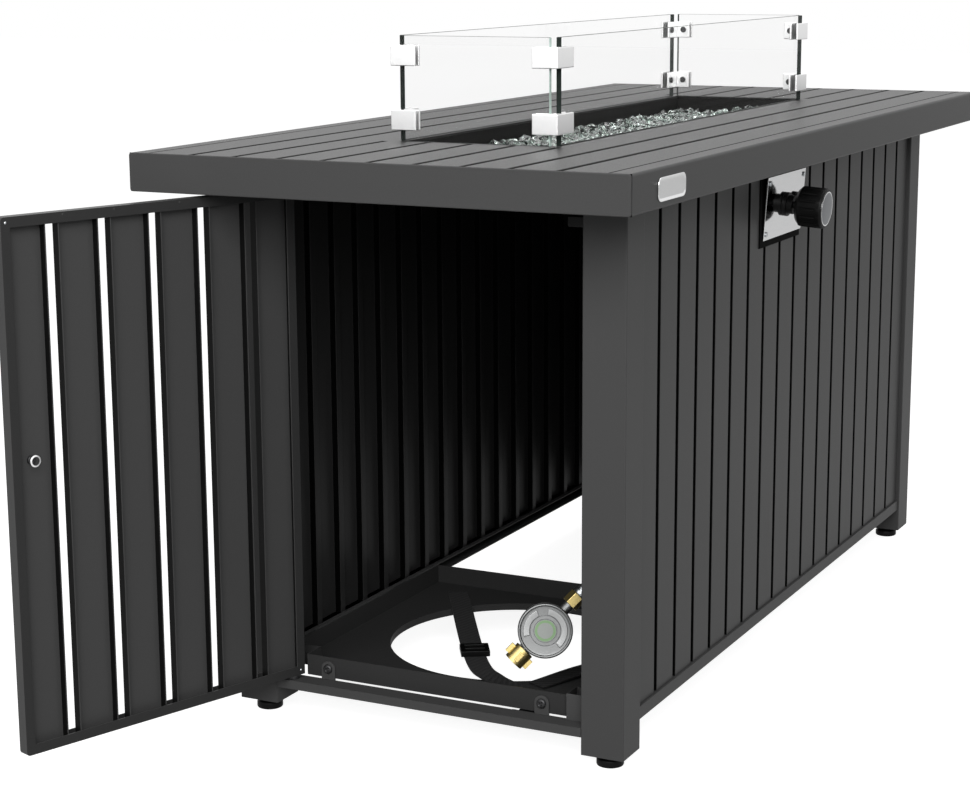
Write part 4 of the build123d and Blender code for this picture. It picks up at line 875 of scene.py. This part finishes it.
@dataclass
class GasLine(Assembly):
    """Hose from the valve to the hanging regulator, its fittings and the regulator."""

    eased_mm: Eased = (("hose_nuts", BRASS, 0.5), ("regulator_body", DIE_CAST, 0.5), ("inlet_wing_nut", BRASS, 0.7))
    dressed: Dressed = (("gas_valve", DIE_CAST),)
    route_mm: tuple[tuple[float, float, float], ...] = (
        (-54, -195.5, 479), (-54, -195.5, 435), (-66, -196, 386), (-93, -198, 336), (-133, -200, 294),
        (-185, -201, 263), (-241, -200, 242), (-295, -196, 227), (-346, -186, 211), (-390.5, -166.3, 191.1),
        (-410.1, -141.3, 160.6))
    hose_diameter: float = 0.012
    hose_length: float = 0.534
    fittings: tuple[str, ...] = (
        "hose_nuts_finished", "hose_ferrules_crimped", "regulator_body_finished", "regulator_cover_pressed",
        "regulator_cover_sectors", "regulator_label_blank", "inlet_wing_nut_finished")
    ferrule_mm: Profile = (
        (0, 0), (6.6, 0), (7.5, 1), (7.5, 3.5), (6.9, 4.2), (6.9, 5.6), (7.5, 6.3), (7.5, 8.8), (6.9, 9.5),
        (6.9, 10.9), (7.5, 11.6), (7.5, 14.5), (6.6, 16), (0, 16))
    disc_at: tuple[float, float, float] = (-0.45, -0.1075, 0.1158)
    facing: Vector = field(default_factory=lambda: Vector((-0.876, -0.437, 0.204)).normalized())
    lean: float = 45.0
    disc_radius_mm: float = 29.7
    sectors: tuple[tuple[float, float], ...] = ((67.0, 150.0), (-95.0, 37.0))
    sector_mm: Profile = ((17.0, 2.9), (23.8, 2.9), (23.8, 5.0), (17.0, 4.6))
    sector_edge: float = 0.5 * MM
    label_mm: Profile = ((0, 3.2), (11.8, 3.2), (11.8, 3.45), (0, 3.45))
    print_level: float = 3.5 * MM
    disc: Matrix = field(init=False)

    def __post_init__(self) -> None:
        """Work out the place of the regulator's disc: X along the gas flow, Z out of its face."""
        level = UP.cross(self.facing).normalized()
        rise = self.facing.cross(level)
        turn = math.radians(self.lean)
        flow = level * math.cos(turn) + rise * math.sin(turn)
        self.disc = axis_place(Vector(self.disc_at), self.facing, flow)

    def build(self) -> None:
        """Build the hose and everything on it."""
        super().build()
        self.build_ferrules()
        self.build_cover()
        self.build_sectors()
        self.build_label()
        self.build_hose()

    def build_hose(self) -> None:
        """Lay the hose along its route."""
        curve = bpy.data.curves.new("gas_hose_tube", "CURVE")
        curve.dimensions = "3D"
        curve.bevel_depth = self.hose_diameter / 2
        curve.bevel_resolution = 6
        curve.resolution_u = 16
        curve.use_fill_caps = True
        spline = curve.splines.new("NURBS")
        spline.points.add(len(self.route_mm) - 1)
        for point, (x, y, z) in zip(spline.points, self.route_mm):
            point.co = (x * MM, y * MM, z * MM, 1.0)
        spline.order_u = 3
        spline.use_endpoint_u = True
        curve.materials.append(HOSE_RUBBER.material())
        hose = add_object("gas_hose_tube", curve)
        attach(hose, body_of("gas_hose"))
        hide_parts("gas_hose")
        LOG.info("gas_hose_tube: %d points", len(self.route_mm))

    def build_ferrules(self) -> None:
        """Crimped sleeves with rings pressed into them."""
        start, end = Vector(self.route_mm[0]) * MM, Vector(self.route_mm[-1]) * MM
        back = self.disc.to_3x3() @ -ALONG_X
        sleeves = [lathe(self.ferrule_mm, axis_place(start, UP, ALONG_X)),
                   lathe(self.ferrule_mm, axis_place(end, back, self.facing))]
        stand_in(join(sleeves), "hose_ferrules", "crimped", ZINC_STEEL)

    def build_cover(self) -> None:
        """Rimmed cover with a groove round its plain hub."""
        rim = self.disc_radius_mm
        profile = [(0, 0), (rim, 0), (rim, 1.2), (rim - 0.9, 1.7), (rim, 2.2), (rim, 4.4), (rim - 0.9, 5.3),
                   (rim - 1.9, 5.5), (rim - 2.8, 5.0), (rim - 3.3, 3.7), (24.6, 3.4), (16.6, 3.2), (16.2, 1.6),
                   (12.6, 1.6), (12.2, 3.3), (0, 3.3)]
        stand_in(lathe(profile, self.disc, steps=96), "regulator_cover", "pressed", DIE_CAST)

    def build_sectors(self) -> None:
        """Two raised sectors of the cover, ground bright."""
        parts = []
        for start, end in self.sectors:
            bm = bmesh.new()
            corners = [bm.verts.new((radius * MM, 0, height * MM)) for radius, height in self.sector_mm]
            section = bm.faces.new(corners)
            bmesh.ops.rotate(bm, verts=corners, cent=(0, 0, 0), matrix=Matrix.Rotation(math.radians(start), 3, "Z"))
            bmesh.ops.spin(bm, geom=[section, *section.edges, *corners], cent=(0, 0, 0), axis=(0, 0, 1),
                           angle=math.radians(end - start), steps=32)
            bmesh.ops.recalc_face_normals(bm, faces=bm.faces)
            ease(bm, self.sector_edge)
            bmesh.ops.transform(bm, matrix=self.disc, verts=bm.verts)
            parts.append(bm)
        finish_piece(join(parts), "regulator_cover_sectors", GROUND_CAST, body_of("regulator_cover"))

    def build_label(self) -> None:
        """Plain paper disc on the cover's hub."""
        paper = replace(PRINTED_PAPER, centre=tuple(self.disc @ Vector((0, 0, self.print_level))))
        finish_piece(lathe(self.label_mm, self.disc, steps=64), "regulator_label_blank", paper,
                     body_of("regulator_cover"))


@dataclass
class TableTop(Assembly):
    """Grooved top, its edge channels, end caps and the bare badge plate."""

    eased_mm: Eased = tuple(
        (node, POWDER_COAT, 0.9) for node in ("front_fascia", "back_fascia", "door_end_fascia", "far_end_fascia"))
    dressed: Dressed = (("top_bars", POWDER_COAT),)
    sheet_edge: float = 0.5 * MM
    sheet_lip: float = 1.4 * MM
    shade_strip: float = 1.2 * MM
    shade_strip_width: float = 3.0 * MM
    shade_strip_edge: float = 0.05 * MM
    shade_strip_sunk: float = 0.07 * MM
    badge_low: tuple[float, float, float] = (-0.5705, 0.0, 0.5970)
    badge_high: tuple[float, float, float] = (-0.4995, 0.0, 0.6205)
    badge_rise: float = 1.8 * MM
    badge_corner: float = 7.5 * MM
    badge_rim: float = 3.0 * MM
    badge_sunk: float = 0.8 * MM
    badge_edge: float = 0.75 * MM

    def build(self) -> None:
        """Build the top."""
        super().build()
        sheet = replace(GROOVED_COAT, name="powder_coat_grooved_top", axis=Axis.Z, face=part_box("top_sheet")[1].z,
                        lip=self.sheet_lip)
        eased_copy("top_sheet", sheet, self.sheet_edge)
        self.build_shade_strips()
        self.build_badge()

    def build_shade_strips(self) -> None:
        """Black strips of painted shade that show as dark lines in the seams along the top and behind its end caps."""
        sheet_low, sheet_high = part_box("top_sheet")
        channel_low, channel_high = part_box("front_fascia")
        seam = (channel_high.y + sheet_low.y) / 2
        level = sheet_high.z - self.shade_strip_sunk - self.shade_strip / 2
        strip = Matrix.Diagonal((sheet_high.x - sheet_low.x, self.shade_strip_width, self.shade_strip, 1.0))
        plate = Matrix.Diagonal((
            self.shade_strip, -2 * (channel_low.y + self.shade_strip_sunk),
            channel_high.z - channel_low.z - 2 * self.shade_strip_sunk, 1.0))
        half_height = (channel_low.z + channel_high.z) / 2
        bm = bmesh.new()
        for side in (-1, 1):
            bmesh.ops.create_cube(bm, size=1.0, matrix=Matrix.Translation((0, side * seam, level)) @ strip)
            end = Matrix.Translation((side * sheet_high.x, 0, half_height))
            bmesh.ops.create_cube(bm, size=1.0, matrix=end @ plate)
        ease(bm, self.shade_strip_edge)
        finish_piece(bm, "top_seam_shade_strips", SHADE_BLACK_RUBBER, body_of("top_sheet"))

    def build_badge(self) -> None:
        """Bare bright plate with a rolled rim on the control-side edge channel."""
        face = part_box("front_fascia")[0].y
        low, high = Vector(self.badge_low), Vector(self.badge_high)
        centre, size = (low + high) / 2, high - low
        bm = bmesh.new()
        bmesh.ops.create_cube(bm, size=1.0, matrix=Matrix.Diagonal((size.x, self.badge_rise, size.z, 1.0)))
        corners = [edge for edge in bm.edges if abs((edge.verts[0].co - edge.verts[1].co).y) > self.badge_rise / 2]
        bevel(bm, corners, self.badge_corner, segments=8)
        front = min(bm.faces, key=lambda one: one.calc_center_median().y)
        bmesh.ops.inset_region(bm, faces=[front], thickness=self.badge_rim, depth=0.0)
        bmesh.ops.translate(bm, verts=front.verts, vec=(0, self.badge_sunk, 0))
        ease(bm, self.badge_edge, segments=4, limit=math.radians(12))
        bmesh.ops.translate(bm, verts=bm.verts, vec=(centre.x, face - self.badge_rise / 2, centre.z))
        finish_piece(bm, "badge_plate_bare", NICKEL, body_of("front_fascia"))


@dataclass
class Cabinet(Assembly):
    """Posts, folded panels, rails, feet and the small hardware on the near post."""

    eased_mm: Eased = (
        *((node, POWDER_COAT, 0.5) for node in (
            "door_front_post", "door_back_post", "far_front_post", "far_back_post", "front_bottom_rail",
            "back_bottom_rail", "far_end_bottom_rail", "door_sill", "door_header", "door_stop_bracket")),
        ("door_magnet_catch", BLACK_ABS, 1.2))
    panel_edge: float = 0.3 * MM
    feet: tuple[str, ...] = ("door_front_foot", "door_back_foot", "far_front_foot", "far_back_foot")

    def build(self) -> None:
        """Build the cabinet."""
        super().build()
        side = replace(GROOVED_COAT, name="powder_coat_side_panel", axis=Axis.Y, face=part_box("back_panel")[1].y)
        end = replace(GROOVED_COAT, name="powder_coat_end_panel", axis=Axis.X, face=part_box("far_end_panel")[1].x)
        for node, finish in (("front_panel", side), ("back_panel", side), ("far_end_panel", end)):
            eased_copy(node, finish, self.panel_edge)
        for node in self.feet:
            self.build_foot(node)

    def build_foot(self, node: str) -> None:
        """Turned glide with a grip ring on its stud.

        Args:
            node: CAD node of the foot.
        """
        low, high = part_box(node)
        radius = (high.x - low.x) / 2 / MM
        profile = [(0, 0), (radius - 2.0, 0), (radius - 0.6, 0.6), (radius, 1.8), (radius, 6.6),
                   (radius - 1.0, 8.0), (11.6, 9.6), (11.0, 10.4), (11.0, 14.0), (4.0, 14.0), (4.0, 38.0), (0, 38.0)]
        place = Matrix.Translation(((low.x + high.x) / 2, (low.y + high.y) / 2, low.z))
        stand_in(lathe(profile, place), node, "glide", BLACK_ABS)


@dataclass
class Door(Assembly):
    """Slatted door with its frame, pivots, rivets and pull, open as it rests."""

    eased_mm: Eased = (("door_frame", POWDER_COAT, 0.45), ("door_slats", POWDER_COAT, 0.45),
                       ("door_pivot_pins", BLACK_SCREW, 0.3), ("door_pull", BLACK_ABS, 1.0))
    opened: float = 109.0
    rivet_inset: float = 5.4 * MM
    rivet_mm: Profile = ((0, 0.7), (0.7, 0.6), (1.2, 0.3), (1.4, 0), (0, 0))
    clinches: tuple[float, ...] = (0.15, 0.23, 0.29)
    clinch_mm: Profile = ((0, 0.5), (0.9, 0.45), (1.5, 0), (0, 0))
    washer_mm: float = 6.1
    facing_share: float = 0.7
    along: Vector = field(init=False)
    inward: Vector = field(init=False)

    def __post_init__(self) -> None:
        """Work out where the open door's free edge and its inner face point."""
        turn = Matrix.Rotation(math.radians(-self.opened), 3, "Z")
        self.along, self.inward = turn @ Vector((0, -1, 0)), turn @ ALONG_X

    def build(self) -> None:
        """Build the door."""
        super().build()
        # The frame's faces that turn inwards get the coat painted darker as shade.
        recoat("door_frame", SHADED_COAT, lambda normal: normal.dot(self.inward) > self.facing_share)
        # The slats' folds get nearly black painted shade.
        recoat("door_slats", FOLD_SHADE_COAT, lambda normal: abs(normal.dot(self.along)) > self.facing_share)
        self.build_rivets()
        self.build_clinches()
        self.build_pull_screw()

    def on_flange(self, away: float, height: float) -> Matrix:
        """Place on the frame's inner flange with Z out of it, so far along the door and above the floor."""
        face = self.inward * reach("door_frame", self.inward)
        return axis_place(face + self.along * away + UP * height, self.inward, self.along)

    def build_rivets(self) -> None:
        """Domed rivets in the corners of the frame's inner flange, but none where it closes on the stop bracket."""
        low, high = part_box("door_frame")
        free = reach("door_frame", self.along) - self.rivet_inset
        hinge = self.rivet_inset - reach("door_frame", -self.along)
        foot, head = low.z + self.rivet_inset, high.z - self.rivet_inset
        rivets = [lathe(self.rivet_mm, self.on_flange(away, height), steps=20)
                  for away, height in ((free, head), (hinge, foot), (hinge, head))]
        finish_piece(join(rivets), "door_corner_rivets", ZINC_STEEL, body_of("door_frame"))

    def build_clinches(self) -> None:
        """Small clinched points that hold the slats in the frame's upper flange."""
        hinge = -reach("door_frame", -self.along)
        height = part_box("door_frame")[1].z - self.rivet_inset / 2
        points = [lathe(self.clinch_mm, self.on_flange(hinge + away, height), steps=3) for away in self.clinches]
        finish_piece(join(points), "door_flange_clinches", POWDER_COAT, body_of("door_frame"))

    def build_pull_screw(self) -> None:
        """Socket-head screw of the pull with its washer, on the inside of its slat."""
        low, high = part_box("door_pull_screw")
        rim = (high.z - low.z) / 2 / MM
        centre = (low + high) / 2
        top = reach("door_pull_screw", self.inward)
        place = axis_place(centre + self.inward * (top - centre.dot(self.inward)), self.inward, UP)
        head = [(0, -2.2), (0.44 * rim, -2.2), (0.46 * rim, -0.3), (0.55 * rim, 0), (0.8 * rim, -0.15),
                (0.96 * rim, -0.8), (rim, -1.6), (rim, -4.0), (0, -4.0)]
        stand_in(lathe(head, place, steps=32), "door_pull_screw", "socket_head", BLACK_SCREW)
        seat = (reach("door_slats", self.inward) - top) / MM
        washer = [(rim, seat), (self.washer_mm, seat), (self.washer_mm, seat + 0.5), (self.washer_mm - 0.5, seat + 1.0),
                  (rim, seat + 1.0), (rim, seat)]
        finish_piece(lathe(washer, place, steps=40), "door_pull_washer", SATIN_STEEL, body_of("door_pull_screw"))


@dataclass
class WindGuard(Assembly):
    """Four panes in corner clips with their screws."""

    eased_mm: Eased = (("guard_side_panes", FLOAT_GLASS, 0.6), ("guard_end_panes", FLOAT_GLASS, 0.6),
                       ("guard_clips", SATIN_STEEL, 0.9), ("guard_clip_screws", BLACK_SCREW, 0.6))
    face_share: float = 0.9
    highlight_share: float = 0.7

    def build(self) -> None:
        """Build the guard, and tell the panes' edges from their faces."""
        super().build()
        for node, through in (("guard_side_panes", Axis.Y), ("guard_end_panes", Axis.X)):
            # The panes' edges get painted shade.
            recoat(node, GLASS_EDGE, lambda normal: abs(normal[through.value]) <= self.face_share)
            bpy.data.objects[node + "_finished"].visible_shadow = False
        # The end panes' edges that face the control side get a painted highlight.
        recoat("guard_end_panes", GLASS_EDGE_PAINTED_HIGHLIGHT, lambda normal: normal.y < -self.highlight_share)


@dataclass
class Burner(Assembly):
    """Stepped pan, burner and the loose fire glass, whose chips stray from the cells of an even grid."""

    eased_mm: Eased = (("burner_pan", STOVE_PAINT, 0.5),)
    dressed: Dressed = (("burner_tube", ZINC_STEEL), ("burner_supply_tube", ZINC_STEEL), ("spark_electrode", CERAMIC))
    cell_mm: float = 22.0
    seed: int = 11
    heap_rows: int = 3
    bed_level: float = 0.603
    layer_rise: float = 5.5 * MM
    astray: float = 0.25
    settled_mm: float = 2.0
    chip_radius: float = 0.47
    broken: tuple[float, float] = (0.72, 1.08)
    tipped: float = 0.6
    squashed: tuple[tuple[float, float], ...] = ((0.8, 1.1), (0.65, 0.95), (0.6, 0.9))
    sharp: float = math.radians(15)

    def build(self) -> None:
        """Build the burner."""
        super().build()
        self.build_stones()

    def build_stones(self) -> None:
        """Heap broken glass chips over the bed, more along the control side."""
        draw = Random(self.seed)
        low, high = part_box("fire_glass")
        step = self.cell_mm * MM
        columns = int((high.x - low.x) / step)
        rows = int((high.y - low.y) / step)
        bm = bmesh.new()
        for row in range(rows):
            for layer in range(3 if row < self.heap_rows else 2):
                inset = 1.0 if layer == 1 else 0.5
                for column in range(columns):
                    x = low.x + (column + inset + draw.uniform(-self.astray, self.astray)) * step
                    y = low.y + (row + inset + draw.uniform(-self.astray, self.astray)) * step
                    z = self.bed_level + layer * self.layer_rise + draw.uniform(-self.settled_mm, self.settled_mm) * MM
                    self.add_stone(bm, draw, Vector((min(x, high.x - step / 2), min(y, high.y - step / 2), z)))
        stand_in(bm, "fire_glass", "chips", FIRE_GLASS, self.sharp)

    def add_stone(self, bm: Mesh, draw: Random, place: Vector) -> None:
        """Add one broken chip.

        Args:
            bm: Mesh that gets it.
            draw: Random numbers.
            place: Middle of the chip.
        """
        chip = bmesh.ops.create_icosphere(bm, subdivisions=1, radius=self.chip_radius * self.cell_mm * MM)["verts"]
        for vert in chip:
            vert.co *= draw.uniform(*self.broken)
        spun = Matrix.Rotation(draw.uniform(0, math.tau), 4, "Z")
        tipped = Matrix.Rotation(draw.uniform(-self.tipped, self.tipped), 4, "X")
        flat = Matrix.Diagonal([draw.uniform(*span) for span in self.squashed] + [1.0])
        bmesh.ops.transform(bm, matrix=Matrix.Translation(place) @ (spun @ tipped) @ flat, verts=chip)


@dataclass
class Controls(Assembly):
    """Control plate, knob and igniter, which lean forward together."""

    eased_mm: Eased = (
        # The control pad is a real pad, made dead black as painted shade beside and below the tilted plate.
        ("control_pad", SHADE_BLACK_RUBBER, 0.3), ("control_plate", BRIGHT_STEEL, 0.4),
        ("control_plate_screws", ZINC_STEEL, 0.5), ("knob_collar", BLACK_ABS, 0.7), ("control_knob", BLACK_ABS, 0.4),
        ("igniter_ring", BLACK_ABS, 0.4), ("igniter_button", BLACK_ABS, 0.4))
    dressed: Dressed = (("igniter_housing", BLACK_ABS), ("valve_stem", BLACK_SCREW))
    lean: float = 4.1

    def build(self) -> None:
        """Build the controls."""
        super().build()
        self.build_cap()

    def build_cap(self) -> None:
        """Domed grey cap in a bright ring, on the knob's face."""
        turn = math.radians(self.lean)
        outward = Vector((0, -math.cos(turn), -math.sin(turn)))
        low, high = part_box("knob_cap")
        rim = (high.x - low.x) / 2 / MM
        centre = (low + high) / 2
        seat = centre - outward * (centre.dot(outward) + reach("knob_cap", -outward))
        rise = (reach("knob_cap", outward) + reach("knob_cap", -outward)) / MM
        place = axis_place(seat, outward, ALONG_X)
        dome = [(0, 0), (rim - 1.0, 0), (rim - 1.0, 0.4 * rise), (0.84 * rim, 0.66 * rise), (0.62 * rim, 0.86 * rise),
                (0.34 * rim, 0.97 * rise), (0, rise)]
        stand_in(lathe(dome, place, steps=64), "knob_cap", "domed", SPUN_ALUMINIUM)
        ring = [(rim - 1.2, 0), (rim, 0), (rim, 0.45 * rise), (rim - 0.5, 0.6 * rise), (rim - 1.2, 0.45 * rise),
                (rim - 1.2, 0)]
        finish_piece(lathe(ring, place, steps=64), "knob_cap_ring", NICKEL, body_of("knob_cap"))


@dataclass
class BottleTray(Assembly):
    """Tray with its tabs and screws, the buckle and the webbing strap, whose points are x, y and rise over the tray."""

    eased_mm: Eased = (
        # The tray gets the coat painted darker as shade.
        ("bottle_tray", SHADED_COAT, 0.5), ("tray_tabs", POWDER_COAT, 0.5), ("strap_buckle", BLACK_ABS, 1.0))
    screw: CrossScrew = CrossScrew()
    strap_width: float = 0.025
    strap: float = 1.6 * MM
    stations: int = 48
    runs_mm: tuple[tuple[tuple[float, float, float], ...], ...] = (
        ((-162, 146, 0), (-384, 10, 1), (-444, -42, 3), (-468, -92, 2)),
        ((-440, -92, 1), (-362, -128, 4), (-292, -176, 0)),
        ((-503, -106, -4.6), (-499, -106, -9), (-489, -106, -11), (-478, -106, -9), (-472, -106, -4.6)),
    )

    def build(self) -> None:
        """Build the tray."""
        super().build()
        self.build_screws()
        self.build_strap()

    def build_screws(self) -> None:
        """Cross-recess screws in the tabs."""
        low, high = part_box("tray_screws")
        radius = (high.z - low.z) / 2
        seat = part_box("tray_tabs")[0].x
        heads = []
        for y in (low.y + radius, high.y - radius):
            place = axis_place(Vector((seat, y, (low.z + high.z) / 2)), -ALONG_X, Vector((0, 1, 1)))
            heads.append(self.screw.head(radius, seat - low.x, place))
        stand_in(join(heads), "tray_screws", "cross_head", BLACK_SCREW)

    def build_strap(self) -> None:
        """Lay the strap's lengths over the tray, with its end looped under the tray's front."""
        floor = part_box("bottle_strap")[0].z
        runs = [[Vector((x * MM, y * MM, floor + rise * MM)) for x, y, rise in run] for run in self.runs_mm]
        stand_in(join([self.ribbon(run) for run in runs]), "bottle_strap", "webbing", STRAP_WEBBING)

    def ribbon(self, points: list[Vector]) -> Mesh:
        """Sweep the webbing's width along a smooth line through points.

        Args:
            points: Points that the ribbon passes.

        Returns:
            The ribbon, with its weave's UV map.
        """
        bm = bmesh.new()
        weave = bm.loops.layers.uv.new("weave")
        line = self.smooth_line(points)
        across = [self.across(line, index) * self.strap_width / 2 for index in range(len(line))]
        edge = bm.edges.new([bm.verts.new(line[0] - across[0]), bm.verts.new(line[0] + across[0])])
        travelled = 0.0
        for index in range(1, len(line)):
            grown = bmesh.ops.extrude_edge_only(bm, edges=[edge])["geom"]
            edge = next(item for item in grown if isinstance(item, bmesh.types.BMEdge))
            for vert, side in zip(edge.verts, (-1, 1)):
                vert.co = line[index] + side * across[index]
            reached = travelled + (line[index] - line[index - 1]).length
            for loop in edge.link_faces[0].loops:
                ahead = loop.vert in edge.verts
                side = (loop.vert.co - line[index if ahead else index - 1]).dot(across[index]) > 0
                loop[weave].uv = (self.strap_width if side else 0.0, reached if ahead else travelled)
            travelled = reached
        bmesh.ops.recalc_face_normals(bm, faces=bm.faces)
        bmesh.ops.solidify(bm, geom=bm.faces[:], thickness=-self.strap)
        return bm

    def smooth_line(self, points: list[Vector]) -> list[Vector]:
        """Points along a smooth line, a Catmull-Rom spline.

        Args:
            points: Points that it passes.

        Returns:
            The stations of the line.
        """
        padded = [2 * points[0] - points[1], *points, 2 * points[-1] - points[-2]]
        share = self.stations // (len(points) - 1)
        line = []
        for before, start, end, after in zip(padded, padded[1:], padded[2:], padded[3:]):
            for index in range(share):
                t = index / share
                line.append(0.5 * (2 * start + (end - before) * t + (2 * before - 5 * start + 4 * end - after) * t ** 2
                                   + (3 * start - before - 3 * end + after) * t ** 3))
        return line + [points[-1].copy()]

    def across(self, line: list[Vector], index: int) -> Vector:
        """Level direction across the line at a station."""
        ahead = line[min(index + 1, len(line) - 1)] - line[max(index - 1, 0)]
        return UP.cross(ahead).normalized()


def main() -> None:
    """Build the studio and every sub-assembly, and report the pieces."""
    logging.basicConfig(level=logging.INFO, format="%(name)s %(message)s")
    Studio().build()
    for assembly in (GasLine(), TableTop(), Cabinet(), Door(), WindGuard(), Burner(), Controls(), BottleTray()):
        assembly.build()


if __name__ == "__main__":
    main()
